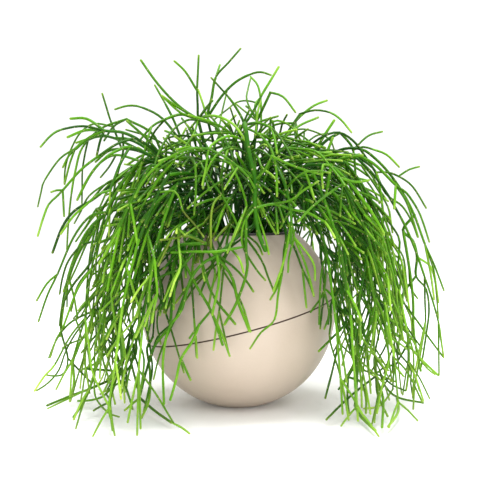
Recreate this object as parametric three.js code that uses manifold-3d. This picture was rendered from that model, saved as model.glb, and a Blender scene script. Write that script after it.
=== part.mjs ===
// A mistletoe cactus in a ball planter of two shells, with its grow pot and soil.
// Millimetres, floor at z = 0, the front looks along -Y.
import * as THREE from 'three';
import { mergeVertices } from 'three/addons/utils/BufferGeometryUtils.js';
import Module from 'manifold-3d';

const wasm = await Module();
wasm.setup();

// Ball planter
const ballRadius = 102.5;
const footRadius = 30;
const ballHeight = Math.sqrt(ballRadius ** 2 - footRadius ** 2);
const rimHeight = 180.6;
const wall = 3.2;
const floorThickness = 4;
const seamTilt = THREE.MathUtils.degToRad(14.3);
const seamDrop = 8.6;
const seamGap = 0.9;
const tongueWall = 1.45;
const tongueRise = 5;
const fitGap = 0.3;
const ballSides = 32;
const ballRings = 9;

// Grow pot and soil
const flangeRadius = 59.5;
const flangeThickness = 2;
const growTopRadius = 53.5;
const growFootRadius = 44;
const growDepth = 112;
const growWall = 1.6;
const soilDrop = 10;
const holeDepth = 14;
const holeSides = 4;
const holeRadius = 3.5;

// Plant
const sprayCount = 54;
const rootSpread = 44.84;
const seed = 2718;
const leaderRadius = 1.7;
const branchRadius = 1.55;
const twigRadius = 1.4;
const sideFactor = 1.25;
const stemGap = 0.4;
const stride = 25;
const jointFacets = 22;
const facetLimit = { reaching: 170, crown: 150, drape: 190, curtain: 290, net: 250 };
const crownHeight = 304;
const widest = 212;

const ballCentre = [0, 0, ballHeight];
const soilTop = rimHeight + fitGap + flangeThickness - soilDrop;

function toSolid(geometry) {
  geometry.deleteAttribute('normal');
  geometry.deleteAttribute('uv');
  const welded = mergeVertices(geometry, 1e-4);
  const vertProperties = new Float32Array(welded.attributes.position.array);
  const triVerts = new Uint32Array(welded.index.array);
  return new wasm.Manifold(new wasm.Mesh({ numProp: 3, vertProperties, triVerts }));
}

function toMesh(name, solid, material) {
  const { vertProperties, triVerts } = solid.getMesh();
  const geometry = new THREE.BufferGeometry();
  geometry.setAttribute('position', new THREE.BufferAttribute(vertProperties, 3));
  geometry.setIndex(new THREE.BufferAttribute(triVerts, 1));
  geometry.computeVertexNormals();
  const mesh = new THREE.Mesh(geometry, material);
  mesh.name = name;
  return mesh;
}

// Turns [radius, height] corners about the z axis.
function turned(corners, sides) {
  const profile = corners.map(([radius, height]) => new THREE.Vector2(radius, height));
  const geometry = new THREE.LatheGeometry(profile, sides);
  geometry.rotateX(Math.PI / 2);
  return toSolid(geometry);
}

// Part of a ball about the planter's centre, from a flat floor to a flat top.
function ball(radius, floor, top) {
  const low = Math.asin((floor - ballHeight) / radius);
  const high = top < ballHeight + radius ? Math.asin((top - ballHeight) / radius) : Math.PI / 2;
  const corners = [[0, floor]];
  for (let ring = 0; ring <= ballRings; ring += 1) {
    const angle = low + ((high - low) * ring) / ballRings;
    const out = high === Math.PI / 2 && ring === ballRings ? 0 : radius * Math.cos(angle);
    corners.push([out, ballHeight + radius * Math.sin(angle)]);
  }
  if (high < Math.PI / 2) {
    corners.push([0, top]);
  }
  return turned(corners, ballSides);
}

// Everything on the lower side of the tilted seam plane, raised along its normal.
function belowSeam(raised) {
  const size = 400;
  const block = new THREE.BoxGeometry(size, size, size);
  block.translate(0, 0, raised - seamDrop - size / 2);
  block.rotateY(-seamTilt);
  block.translate(0, 0, ballHeight);
  return toSolid(block);
}

const outerBall = ball(ballRadius, 0, rimHeight);
const innerBall = ball(ballRadius - wall, floorThickness, rimHeight + 20);
const shell = outerBall.subtract(innerBall);
const tongueBall = ball(ballRadius - wall + tongueWall, floorThickness / 2, rimHeight + 20);
const socketBall = ball(ballRadius - wall + tongueWall + fitGap, floorThickness / 2, rimHeight + 20);
const tongue = tongueBall.subtract(innerBall).intersect(belowSeam(tongueRise));
const lowerShell = shell.intersect(belowSeam(-seamGap / 2)).add(tongue);
const upperShell = shell
  .subtract(belowSeam(seamGap / 2))
  .subtract(socketBall.intersect(belowSeam(tongueRise + fitGap)));

const flangeBase = rimHeight + fitGap;
const flangeTop = flangeBase + flangeThickness;
const growFoot = flangeTop - growDepth;
const growPot = turned(
  [
    [0, growFoot],
    [growFootRadius, growFoot],
    [growTopRadius, flangeBase],
    [flangeRadius, flangeBase],
    [flangeRadius, flangeTop],
    [growTopRadius - growWall, flangeTop],
    [growFootRadius - growWall, growFoot + growWall],
    [0, growFoot + growWall],
  ],
  32,
);

const plus = (a, b) => [a[0] + b[0], a[1] + b[1], a[2] + b[2]];
const minus = (a, b) => [a[0] - b[0], a[1] - b[1], a[2] - b[2]];
const times = (a, k) => [a[0] * k, a[1] * k, a[2] * k];
const dot = (a, b) => a[0] * b[0] + a[1] * b[1] + a[2] * b[2];
const size = (a) => Math.sqrt(dot(a, a));
const unit = (a) => times(a, 1 / size(a));
const cross = (a, b) => [
  a[1] * b[2] - a[2] * b[1],
  a[2] * b[0] - a[0] * b[2],
  a[0] * b[1] - a[1] * b[0],
];
const tidy = (a) => a.map((value) => Math.floor(value * 100 + 0.5) / 100);

function makeRandom(start) {
  let state = start;
  const draw = (low, high) => {
    state = (state * 16807) % 2147483647;
    return low + ((high - low) * (state - 1)) / 2147483646;
  };
  draw(0, 1);
  draw(0, 1);
  return draw;
}

// Shortest distance between the segments pq and rs.
function segmentDistance(p, q, r, s) {
  const along = minus(q, p);
  const other = minus(s, r);
  const between = minus(p, r);
  const a = dot(along, along);
  const e = dot(other, other);
  const f = dot(other, between);
  const c = dot(along, between);
  const b = dot(along, other);
  const base = a * e - b * b;
  let u = base > 1e-9 ? Math.min(1, Math.max(0, (b * f - c * e) / base)) : 0;
  let v = (b * u + f) / e;
  if (v < 0) {
    v = 0;
    u = Math.min(1, Math.max(0, -c / a));
  } else if (v > 1) {
    v = 1;
    u = Math.min(1, Math.max(0, (b - c) / a));
  }
  return size(minus(plus(p, times(along, u)), plus(r, times(other, v))));
}

// Stems already grown, kept by the cells of a coarse grid.
const cell = 24;
const grown = new Map();

function cellsOf(p, q, reach) {
  const low = [0, 1, 2].map((i) => Math.floor((Math.min(p[i], q[i]) - reach) / cell));
  const high = [0, 1, 2].map((i) => Math.floor((Math.max(p[i], q[i]) + reach) / cell));
  const keys = [];
  for (let x = low[0]; x <= high[0]; x += 1) {
    for (let y = low[1]; y <= high[1]; y += 1) {
      for (let z = low[2]; z <= high[2]; z += 1) {
        keys.push((x + 50) * 10000 + (y + 50) * 100 + z + 10);
      }
    }
  }
  return keys;
}

function keepStem(points, radius, owner) {
  for (let i = 1; i < points.length; i += 1) {
    const row = [points[i - 1], points[i], radius, owner];
    cellsOf(row[0], row[1], radius).forEach((key) => {
      if (!grown.has(key)) {
        grown.set(key, []);
      }
      grown.get(key).push(row);
    });
  }
}

// Whether a stem stays outside the planter or goes up through the mouth without touching the flange.
const flangeReach = Math.hypot(flangeRadius, flangeTop - ballHeight);

function clearsPlanter(points, radius) {
  return points.slice(1).every((point, i) =>
    [0.2, 0.4, 0.6, 0.8, 1].every((share) => {
      const place = plus(times(points[i], 1 - share), times(point, share));
      const inMouth = Math.hypot(place[0], place[1]) < growTopRadius - growWall - radius - stemGap;
      const inside = place[2] > soilTop - holeDepth && inMouth;
      return inside || size(minus(place, ballCentre)) > flangeReach + radius + stemGap;
    }),
  );
}

function isClear(points, radius, owner) {
  if (!clearsPlanter(points, radius)) {
    return false;
  }
  for (let i = 1; i < points.length; i += 1) {
    for (const key of cellsOf(points[i - 1], points[i], radius + stemGap)) {
      for (const [r, s, other, who] of grown.get(key) ?? []) {
        if (who !== owner) {
          if (segmentDistance(points[i - 1], points[i], r, s) < radius + other + stemGap) {
            return false;
          }
        }
      }
    }
  }
  return true;
}

// Moves a point out of the planter and up off the floor.
function keepOff(point, radius) {
  const reach = ballRadius + radius + 3.2;
  const away = minus(point, ballCentre);
  const far = size(away);
  const spread = Math.hypot(point[0], point[1]);
  let moved = point;
  if (far < reach && (spread > growTopRadius - 6 || point[2] < soilTop)) {
    moved = plus(ballCentre, times(away, reach / far));
  }
  return tidy([moved[0], moved[1], Math.max(moved[2], radius + 0.4)]);
}

// An arched stem between two points, bowed to one side.
function arc(from, to, lift, bow, radius) {
  const steps = Math.max(2, Math.round(size(minus(to, from)) / stride));
  const points = [from];
  for (let i = 1; i <= steps; i += 1) {
    const t = i / steps;
    const hump = 4 * t * (1 - t);
    const straight = plus(times(from, 1 - t), times(to, t));
    const raised = [bow[0] * hump, bow[1] * hump, (bow[2] + lift) * hump];
    points.push(keepOff(plus(straight, raised), radius));
  }
  return points;
}

// A stem that sets off along a heading and sinks as it goes.
function trail(from, heading, reach, droop, radius) {
  const steps = Math.max(2, Math.round(reach / stride));
  const step = reach / steps;
  const points = [from];
  let way = heading;
  for (let i = 0; i < steps; i += 1) {
    way = unit([way[0], way[1], way[2] - droop]);
    const here = points[points.length - 1];
    const next = keepOff(plus(here, times(way, step)), radius);
    const outside = next[2] > crownHeight || Math.hypot(next[0], next[1]) > widest;
    const overFront = next[1] < -60 && Math.abs(next[0] - 25) < 75 && next[2] < 66;
    if (outside || overFront || size(minus(next, here)) < step * 0.45) {
      return null;
    }
    way = unit(minus(next, here));
    points.push(next);
  }
  return points;
}

// A heading leaned over by an angle, towards the side that spin picks.
function leaned(heading, angle, spin) {
  const side = unit(cross(heading, Math.abs(heading[2]) < 0.9 ? [0, 0, 1] : [1, 0, 0]));
  const upper = cross(side, heading);
  const towards = plus(times(side, Math.cos(spin)), times(upper, Math.sin(spin)));
  return unit(plus(times(heading, Math.cos(angle)), times(towards, Math.sin(angle))));
}

const headingAtEnd = (points) => unit(minus(points[points.length - 1], points[points.length - 2]));
const endOf = (points) => points[points.length - 1];

// Sprays whose stems reach a stated place. Each row is the stem it grows from (-1 is the root), the
// place of its end, and how far it arches up.
const reachingSprays = [
  { root: [-18, -4], stems: [
    [-1, -42, -5, 300, 0], [0, -43, -8, 329, 0], [1, -41, -12, 366, 0], [1, -66, -25, 358, 4],
    [0, -104, 10, 364, -8], [0, -76, -15, 299, 5], [5, -102, -30, 275, 4], [5, -102, -10, 256, 6],
  ] },
  { root: [-8, 14], stems: [
    [-1, -33, 20, 304, 0], [0, -24, 15, 346, 0], [1, 3, 10, 376, 0], [1, -20, 35, 362, 0],
    [0, 12, 10, 348, 8], [4, 35, 0, 346, 3],
  ] },
  { root: [4, -12], stems: [
    [-1, 6, -20, 293, 0], [0, -11, -25, 322, 3], [1, -28, -35, 340, 0], [0, 24, -25, 323, -2],
    [3, 42, -20, 353, 0],
  ] },
  { root: [22, 6], stems: [
    [-1, 39, 5, 263, 0], [0, 66, 15, 304, 4], [1, 96, 20, 322, 3], [0, 65, 0, 306, 2],
    [3, 95, -15, 306, 3], [4, 116, -30, 284, 3],
  ] },
  { root: [12, 20], stems: [
    [-1, 20, 22, 300, 0], [0, 34, 8, 329, 0], [1, 60, -10, 306, 6], [0, 8, 44, 318, 3],
  ] },
  { root: [-26, 16], stems: [
    [-1, -60, 30, 275, 4], [0, -80, 35, 320, 3], [1, -92, 40, 341, 0], [0, -106, 40, 316, 8],
    [3, -137, 45, 314, 3],
  ] },
  { root: [-30, 28], stems: [
    [-1, -129, 45, 271, 25], [0, -142, 50, 303, 0], [1, -151, 50, 333, 0], [0, -160, 52, 256, 5],
  ] },
  { root: [-38, -8], stems: [
    [-1, -138, -20, 287, 30], [0, -176, -10, 300, 6], [0, -178, -40, 287, 4], [2, -196, -60, 268, 3],
    [0, -181, 0, 281, 4], [0, -167, -30, 267, 3], [5, -178, -40, 248, 3], [0, -145, -30, 260, 4],
  ] },
  { root: [-40, 4], stems: [
    [-1, -132, 10, 281, 30], [0, -160, 10, 279, 4], [1, -174, 10, 270, 2], [2, -207, 10, 236, 6],
    [3, -216, 15, 207, 2], [1, -170, 30, 247, 3], [5, -171, 30, 210, 0], [2, -188, 20, 231, 3],
  ] },
  { root: [-30, -24], stems: [
    [-1, -103, -50, 278, 18], [0, -137, -70, 259, 3], [1, -170, -80, 226, 3], [2, -180, -90, 224, 1],
    [2, -168, -85, 200, 0], [2, -184, -80, 212, 0], [5, -194, -85, 181, 2],
  ] },
  { root: [-22, -34], stems: [
    [-1, -106, -70, 268, 18], [0, -127, -90, 257, 2], [1, -153, -100, 216, 5], [0, -122, -95, 226, 4],
    [3, -143, -110, 212, 3], [4, -165, -120, 185, 3],
  ] },
  { root: [36, 2], stems: [
    [-1, 107, 0, 286, 22], [0, 121, 0, 268, 2], [1, 154, 10, 288, 5], [1, 141, -10, 268, 3],
    [3, 167, -20, 249, 4],
  ] },
  { root: [40, -12], stems: [
    [-1, 118, -28, 262, 22], [0, 141, -30, 244, 2], [1, 164, -30, 240, 2], [2, 186, -30, 250, 2],
    [2, 191, -40, 207, 6],
  ] },
  { root: [30, -26], stems: [
    [-1, 112, -52, 262, 20], [0, 156, -60, 231, 6], [1, 153, -70, 207, 1], [1, 176, -70, 207, 4],
    [3, 186, -80, 175, 2], [1, 181, -50, 178, 8],
  ] },
  { root: [42, -4], stems: [
    [-1, 128, -16, 268, 30], [0, 170, -26, 222, 6], [1, 192, -30, 170, 4], [2, 210, -40, 123, 2],
    [2, 204, -20, 140, 2], [4, 209, -20, 108, 0],
  ] },
  { root: [38, -20], stems: [
    [-1, 120, -40, 258, 26], [0, 162, -52, 200, 6], [1, 186, -58, 140, 4], [2, 200, -60, 95, 2],
    [3, 206, -60, 58, 0], [3, 197, -80, 44, 2], [2, 190, -46, 92, 0], [6, 184, -44, 46, 0],
  ] },
  { root: [8, -30], stems: [
    [-1, 14, -56, 234, 2], [0, 8, -60, 262, 0], [1, 6, -60, 288, 0], [0, -8, -82, 218, 5],
    [3, -22, -100, 186, 4], [0, 36, -78, 218, 5], [5, 50, -92, 190, 4], [1, -16, -78, 264, 5],
    [7, -32, -92, 240, 4], [1, 32, -74, 258, 6], [9, 46, -88, 232, 4],
  ] },
  { root: [-2, -34], stems: [
    [-1, -4, -64, 226, 8], [0, -8, -92, 194, 6], [1, -14, -108, 150, 3], [2, -18, -110, 112, 0],
    [3, -9, -110, 72, 0], [2, 4, -110, 118, 2], [5, 12, -111, 92, 0], [1, 22, -104, 160, 4],
    [7, 34, -103, 130, 0],
  ] },
  { root: [-14, -30], stems: [
    [-1, -34, -62, 226, 10], [0, -40, -92, 186, 6], [1, -44, -104, 140, 3], [2, -42, -103, 104, 0],
    [3, -40, -100, 66, 0], [2, -60, -94, 104, 2], [1, -22, -106, 150, 4], [6, -28, -108, 116, 0],
  ] },
  { root: [-26, -22], stems: [
    [-1, -60, -56, 222, 12], [0, -74, -78, 178, 6], [1, -80, -84, 130, 3], [2, -84, -78, 82, 0],
    [2, -66, -92, 96, 2], [4, -52, -96, 50, 0], [1, -56, -94, 150, 4], [0, -88, -62, 196, 6],
  ] },
  { root: [16, -30], stems: [
    [-1, 34, -62, 220, 10], [0, 46, -88, 184, 6], [1, 42, -102, 150, 3], [2, 30, -106, 122, 0],
    [1, 62, -88, 150, 4], [4, 66, -90, 112, 0], [4, 74, -82, 122, 2],
  ] },
  { root: [26, -22], stems: [
    [-1, 60, -54, 216, 12], [0, 80, -72, 174, 6], [1, 84, -78, 130, 3], [2, 80, -80, 90, 0],
    [2, 98, -66, 112, 3], [4, 100, -60, 74, 0], [0, 84, -44, 206, 6],
  ] },
  { root: [-26, -30], stems: [
    [-1, -96, -62, 256, 22], [0, -128, -78, 205, 5], [1, -142, -86, 150, 3], [2, -148, -90, 103, 0],
    [3, -177, -95, 58, 4], [4, -196, -100, 33, 2], [3, -159, -100, 64, 0], [6, -173, -110, 37, 1],
    [6, -158, -120, 28, 0], [1, -179, -66, 143, 18], [9, -200, -68, 116, 4], [9, -197, -74, 96, 4],
    [1, -170, -84, 127, 12], [2, -169, -92, 94, 8], [13, -181, -96, 65, 4],
  ] },
  { root: [-18, -38], stems: [
    [-1, -84, -84, 250, 20], [0, -112, -100, 190, 4], [1, -124, -106, 130, 2], [2, -131, -110, 75, 0],
    [3, -140, -115, 40, 0], [4, -180, -120, 22, 5], [4, -153, -130, 13, 2],
  ] },
  { root: [-10, -44], stems: [
    [-1, -66, -98, 240, 18], [0, -92, -120, 180, 4], [1, -106, -132, 120, 2], [2, -112, -140, 70, 0],
    [3, -118, -145, 28, 0], [4, -132, -150, 3, 1], [4, -112, -147, 3, 1],
  ] },
  { root: [-4, -46], stems: [
    [-1, -58, -92, 232, 18], [0, -78, -112, 170, 4], [1, -88, -122, 110, 2], [2, -92, -128, 60, 0],
    [3, -102, -136, 12, 1], [3, -90, -135, 6, 1], [3, -60, -126, 9, 2], [6, -44, -140, 3, 1],
  ] },
  { root: [34, -28], stems: [
    [-1, 106, -58, 252, 24], [0, 140, -74, 196, 5], [1, 156, -84, 130, 2], [2, 163, -89, 90, 0],
    [3, 166, -90, 60, 0], [4, 184, -100, 26, 2], [4, 181, -86, 20, 2], [3, 177, -82, 62, 4],
    [7, 194, -82, 44, 3],
  ] },
  { root: [26, -36], stems: [
    [-1, 90, -80, 250, 20], [0, 122, -100, 185, 4], [1, 138, -112, 120, 2], [2, 146, -118, 70, 0],
    [3, 150, -120, 28, 0], [4, 168, -125, 11, 1], [4, 139, -135, 7, 1], [3, 174, -114, 26, 6],
  ] },
  { root: [16, -42], stems: [
    [-1, 72, -96, 240, 18], [0, 94, -116, 175, 4], [1, 104, -128, 110, 2], [2, 107, -132, 60, 0],
    [3, 109, -135, 27, 0], [4, 128, -150, 3, 1], [4, 94, -140, 10, 1],
  ] },
  { root: [8, -46], stems: [
    [-1, 62, -88, 232, 18], [0, 84, -106, 165, 4], [1, 92, -114, 100, 2], [2, 96, -118, 50, 0],
    [3, 98, -121, 16, 0], [3, 117, -130, 16, 1],
  ] },
];

// Places the roots on a spiral, so that they stand apart.
const goldenTurn = Math.PI * (3 - Math.sqrt(5));
const freeRoots = [];
for (let i = 0; i < sprayCount; i += 1) {
  const spread = rootSpread * Math.sqrt((i + 0.5) / sprayCount);
  freeRoots.push(tidy([spread * Math.cos(i * goldenTurn), spread * Math.sin(i * goldenTurn), 0]));
}

function takeRoot(wanted) {
  let best = 0;
  freeRoots.forEach((root, i) => {
    const miss = Math.hypot(root[0] - wanted[0], root[1] - wanted[1]);
    if (miss < Math.hypot(freeRoots[best][0] - wanted[0], freeRoots[best][1] - wanted[1])) {
      best = i;
    }
  });
  return freeRoots.splice(best, 1)[0];
}

const sprays = [];

// Tries a stem several times and keeps the first that is clear of the other sprays. Only a shoot that
// branches off costs the facets of a joint.
function tryStem(spray, make, radius, from, level, tries) {
  for (let attempt = 0; attempt < tries; attempt += 1) {
    const points = make(attempt);
    if (points && isClear(points, radius * sideFactor, spray.owner)) {
      keepStem(points, radius * sideFactor, spray.owner);
      spray.stems.push({ points, radius, from, level });
      const siblings = spray.stems.filter((stem) => stem.from === from).length - 1;
      spray.facets += 6 * (points.length - 1) + (siblings > 0 ? jointFacets : 0);
      return spray.stems[spray.stems.length - 1];
    }
  }
  return null;
}

function radiusOf(level) {
  if (level === 0) {
    return leaderRadius;
  }
  return level < 3 ? branchRadius : twigRadius;
}

// Leader of a spray: straight up out of the soil, then on along a curve.
function growLeader(spray, curve, tries) {
  const foot = [spray.root[0], spray.root[1], soilTop - holeDepth + 1];
  const collar = [spray.root[0], spray.root[1], soilTop + 2.5];
  const make = (attempt) => {
    const points = curve(collar, attempt);
    return points && [foot, ...points];
  };
  const leader = tryStem(spray, make, leaderRadius, -1, 0, tries);
  if (!leader || leader.points.length < 5) {
    return leader;
  }
  const joint = leader.points.length - 3;
  const upper = { ...leader, points: leader.points.slice(joint), from: 0 };
  leader.points = leader.points.slice(0, joint + 1);
  spray.stems.push(upper);
  return upper;
}

// Shoots from a joint and the ones that grow on from them, the joints nearest the root first. Of the
// shoots at a joint the first few run on, the rest are side shoots.
function growFrom(spray, firstStem, plan) {
  const { draw } = spray;
  const waiting = [{ stem: firstStem, shoots: plan.forks, runners: plan.runners, depth: plan.depth }];
  while (waiting.length > 0) {
    const { stem, shoots, runners, depth } = waiting.shift();
    const level = stem.level + 1;
    const radius = radiusOf(level);
    const heading = headingAtEnd(stem.points);
    const firstSpin = draw(0, 2 * Math.PI);
    for (let child = 0; child < shoots && spray.facets < plan.facets; child += 1) {
      const runs = child < runners;
      const reach = draw(...plan.reach) * (runs ? 1.1 : 0.85);
      const narrow = runs && runners === 1;
      const make = () => {
        const angle = narrow ? draw(0.08, 0.35) : draw(0.4, 0.9);
        const spin = firstSpin + (child * 2 * Math.PI) / shoots + draw(-0.8, 0.8);
        const droop = draw(...plan.droop) + 0.04 * level;
        const way = leaned(heading, angle, spin);
        return trail(endOf(stem.points), way, reach * draw(0.8, 1), droop, radius * sideFactor);
      };
      const shoot = tryStem(spray, make, radius, spray.stems.indexOf(stem), level, 20);
      if (shoot && depth > 1 && endOf(shoot.points)[2] > plan.hang) {
        if (runs) {
          const onward = draw(0, 1) < plan.sides ? 2 : 1;
          waiting.push({ stem: shoot, shoots: onward, runners: 1, depth: depth - 1 });
        } else if (draw(0, 1) < 0.35) {
          waiting.push({ stem: shoot, shoots: 1, runners: 0, depth: 1 });
        }
      }
    }
  }
}

function startSpray(wanted) {
  const owner = sprays.length;
  const draw = makeRandom(seed + owner * 7919);
  const spray = { owner, root: takeRoot(wanted), stems: [], facets: 0, draw };
  sprays.push(spray);
  return spray;
}

function growReaching({ root, stems }) {
  const spray = startSpray(root);
  const { draw } = spray;
  const made = [];
  const bowOf = (attempt) => {
    const amount = attempt * 0.9;
    return [draw(-amount, amount), draw(-amount, amount), draw(-amount, amount) * 0.6];
  };
  stems.forEach(([from, x, y, z, lift]) => {
    const curve = (start, attempt) => {
      const stray = Math.max(0, attempt - 8) * 0.5;
      const goal = [x + draw(-stray, stray), y + draw(-stray, stray), z + draw(-stray, stray)];
      const radius = from < 0 ? leaderRadius : radiusOf(made[from].level + 1);
      return arc(start, goal, lift, bowOf(attempt), radius * sideFactor);
    };
    if (from < 0) {
      made.push(growLeader(spray, curve, 60));
    } else if (made[from]) {
      const parent = made[from];
      const level = parent.level + 1;
      const make = (attempt) => curve(endOf(parent.points), attempt);
      made.push(tryStem(spray, make, radiusOf(level), spray.stems.indexOf(parent), level, 40));
    } else {
      made.push(null);
    }
  });
  return spray;
}

// Sprays that follow the rule alone: the side they lean to in degrees, their habit, and how low they hang.
const habits = {
  crown: {
    lean: [0.15, 0.6], leader: [58, 88], sink: 0.05,
    forks: 3, runners: 3, depth: 2, sides: 0.8, reach: [36, 58], droop: [0.04, 0.22],
  },
  drape: {
    lean: [0.5, 0.85], leader: [46, 70], sink: 0.22,
    forks: 3, runners: 2, depth: 3, sides: 0.5, reach: [34, 52], droop: [0.24, 0.44],
  },
  curtain: {
    lean: [0.5, 0.85], leader: [90, 112], sink: 0.2,
    forks: 3, runners: 3, depth: 5, sides: 0.5, reach: [46, 66], droop: [0.32, 0.6],
  },
  net: {
    lean: [0.3, 0.6], leader: [58, 80], sink: 0.1,
    forks: 4, runners: 3, depth: 2, sides: 0.9, reach: [34, 50], droop: [0.12, 0.3],
  },
};
const freeSprays = [
  [-92, 'net', 200], [-58, 'net', 200], [-124, 'net', 200], [-40, 'drape', 80], [-140, 'drape', 80],
  [-15, 'drape', 60], [-165, 'drape', 60], [4, 'curtain', 20], [90, 'curtain', 14], [65, 'curtain', 14],
  [115, 'curtain', 14], [42, 'curtain', 14], [138, 'curtain', 14], [18, 'curtain', 14],
  [162, 'curtain', 14], [102, 'curtain', 60], [180, 'curtain', 20], [-70, 'crown', 150],
  [-20, 'crown', 150], [30, 'crown', 150], [75, 'crown', 150], [120, 'crown', 150], [170, 'crown', 150],
  [235, 'crown', 150],
];

function growFree([side, habit, hang]) {
  const plan = habits[habit];
  const turn = THREE.MathUtils.degToRad(side);
  const apart = habit === 'crown' ? 16 : 34;
  const spray = startSpray([apart * Math.cos(turn), apart * Math.sin(turn)]);
  const { draw } = spray;
  const lean = draw(...plan.lean);
  const heading = [Math.cos(turn) * Math.sin(lean), Math.sin(turn) * Math.sin(lean), Math.cos(lean)];
  const reach = draw(...plan.leader);
  const leader = growLeader(
    spray,
    (start, attempt) => {
      const way = leaned(heading, draw(0, 0.2 + 0.01 * attempt), draw(0, 2 * Math.PI));
      const part = draw(0.85, 1) * (1 - 0.005 * attempt);
      return trail(start, way, reach * part, plan.sink, leaderRadius * sideFactor);
    },
    100,
  );
  if (leader) {
    growFrom(spray, leader, { ...plan, hang, facets: facetLimit[habit] });
  }
}

reachingSprays.forEach(growReaching);
freeSprays.forEach(growFree);

// Side shoots on the sprays that reach for a place, where there is room left: on a spray of the
// crown from the joint part way up the leader outwards, on one that hangs from the lowest joint up.
function growSides(spray) {
  const heightOf = (stem) => endOf(stem.points)[2];
  const hangs = spray.stems.some((stem) => heightOf(stem) < 120);
  const parents = spray.stems.filter((stem) => {
    const isTip = !spray.stems.some(({ from }) => spray.stems[from] === stem);
    const hasRoom = hangs ? heightOf(stem) > 30 && !isTip : stem.level < 4;
    return hasRoom && heightOf(stem) < crownHeight - 8;
  });
  if (hangs) {
    parents.sort((a, b) => heightOf(a) - heightOf(b));
  }
  parents.forEach((stem) => {
    const inner = stem.level === 0;
    growFrom(spray, stem, {
      forks: inner ? 2 : 1,
      runners: inner || hangs ? 1 : 0,
      depth: 2,
      sides: 0.5,
      reach: [36, 58],
      droop: [0.04, 0.26],
      hang: 14,
      facets: facetLimit.reaching,
    });
  });
}

sprays.slice(0, reachingSprays.length).forEach(growSides);

// The run of straight pieces through a stem's points.
class StemLine extends THREE.Curve {
  constructor(points) {
    super();
    this.stops = points.map((point) => new THREE.Vector3(...point));
  }

  getPoint(t) {
    const place = t * (this.stops.length - 1);
    const before = Math.min(Math.floor(place), this.stops.length - 2);
    return this.stops[before].clone().lerp(this.stops[before + 1], place - before);
  }

  getSpacedPoints() {
    return this.stops;
  }

  getTangentAt(u) {
    const last = this.stops.length - 1;
    const at = Math.round(u * last);
    const ahead = this.stops[Math.min(at + 1, last)];
    const behind = this.stops[Math.max(at - 1, 0)];
    return ahead.clone().sub(behind).normalize();
  }
}

// A three-sided stem through its points, as thick at each as stated.
function stemSolid(points, radii) {
  const section = new THREE.Shape();
  section.moveTo(1, 0);
  section.lineTo(-0.5, Math.sqrt(0.75));
  section.lineTo(-0.5, -Math.sqrt(0.75));
  section.closePath();
  const extrudePath = new StemLine(points);
  const steps = points.length - 1;
  const geometry = new THREE.ExtrudeGeometry(section, { steps, bevelEnabled: false, extrudePath });
  const corners = geometry.attributes.position;
  const corner = new THREE.Vector3();
  for (let i = 0; i < corners.count; i += 1) {
    corner.fromBufferAttribute(corners, i);
    const away = extrudePath.stops.map((stop) => stop.distanceTo(corner));
    const at = away.indexOf(Math.min(...away));
    const stop = extrudePath.stops[at];
    corner.sub(stop).multiplyScalar(radii[at] * sideFactor).add(stop);
    corners.setXYZ(i, corner.x, corner.y, corner.z);
  }
  return toSolid(geometry);
}

// A spray is one body. A stem runs on into the shoot that bends least from it, and each other shoot
// starts a little way inside the stem it grows from.
function spraySolid(spray) {
  const { stems } = spray;
  const runsOn = stems.map((stem, index) => {
    const shoots = stems.filter(({ from }) => from === index);
    const heading = headingAtEnd(stem.points);
    const along = shoots.map(({ points }) => dot(heading, unit(minus(points[1], points[0]))));
    return shoots[along.indexOf(Math.max(...along))];
  });
  const solids = [];
  stems.forEach((first, index) => {
    if (runsOn[first.from] === first) {
      return;
    }
    const points = [...first.points];
    const radii = points.map(() => first.radius);
    if (first.from >= 0) {
      const parent = stems[first.from].points;
      points[0] = plus(endOf(parent), times(headingAtEnd(parent), -2.4));
      radii.fill(first.radius - 0.03 * (1 + (index % 5)));
    }
    for (let next = runsOn[index]; next; next = runsOn[stems.indexOf(next)]) {
      points.push(...next.points.slice(1));
      radii.push(...next.points.slice(1).map(() => next.radius));
    }
    solids.push(stemSolid(points, radii));
  });
  const bodies = wasm.Manifold.union(solids).simplify(0.2).decompose();
  bodies.sort((a, b) => b.volume() - a.volume());
  return bodies[0];
}

const soilFoot = growFoot + growWall + fitGap;
const growRadiusAt = (height) => {
  const share = (height - growFoot) / (flangeBase - growFoot);
  return growFootRadius + (growTopRadius - growFootRadius) * share - growWall - fitGap;
};
let soil = turned(
  [
    [0, soilFoot],
    [growRadiusAt(soilFoot) - 0.2, soilFoot],
    [growRadiusAt(soilTop) - 0.2, soilTop],
    [0, soilTop],
  ],
  24,
);
const holes = sprays
  .filter((spray) => spray.stems.length > 0)
  .map(({ root }) => {
    const hole = new THREE.CylinderGeometry(holeRadius, holeRadius, holeDepth * 2, holeSides);
    hole.rotateX(Math.PI / 2);
    hole.translate(root[0], root[1], soilTop);
    return toSolid(hole);
  });
soil = soil.subtract(wasm.Manifold.union(holes));

const finish = (color, roughness) => new THREE.MeshStandardMaterial({ color, roughness, metalness: 0 });

const object = new THREE.Group();
object.name = 'mistletoe_cactus_in_ball_planter';
object.add(toMesh('pot_lower_shell', lowerShell, finish(0xe2d3bf, 0.5)));
object.add(toMesh('pot_upper_shell', upperShell, finish(0xe2d3bf, 0.5)));
object.add(toMesh('grow_pot', growPot, finish(0x161616, 0.6)));
object.add(toMesh('soil', soil, finish(0x3b2a1e, 0.95)));
sprays
  .filter((spray) => spray.stems.length > 0)
  .forEach((spray, i) => {
    const green = new THREE.Color().setHSL(0.25 + 0.02 * ((i * 5) % 3), 0.52, 0.29 + 0.03 * (i % 4));
    const name = `spray_${String(i + 1).padStart(2, '0')}`;
    object.add(toMesh(name, spraySolid(spray), finish(green, 0.45)));
  });

export default object;
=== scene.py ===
import itertools
import math

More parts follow.
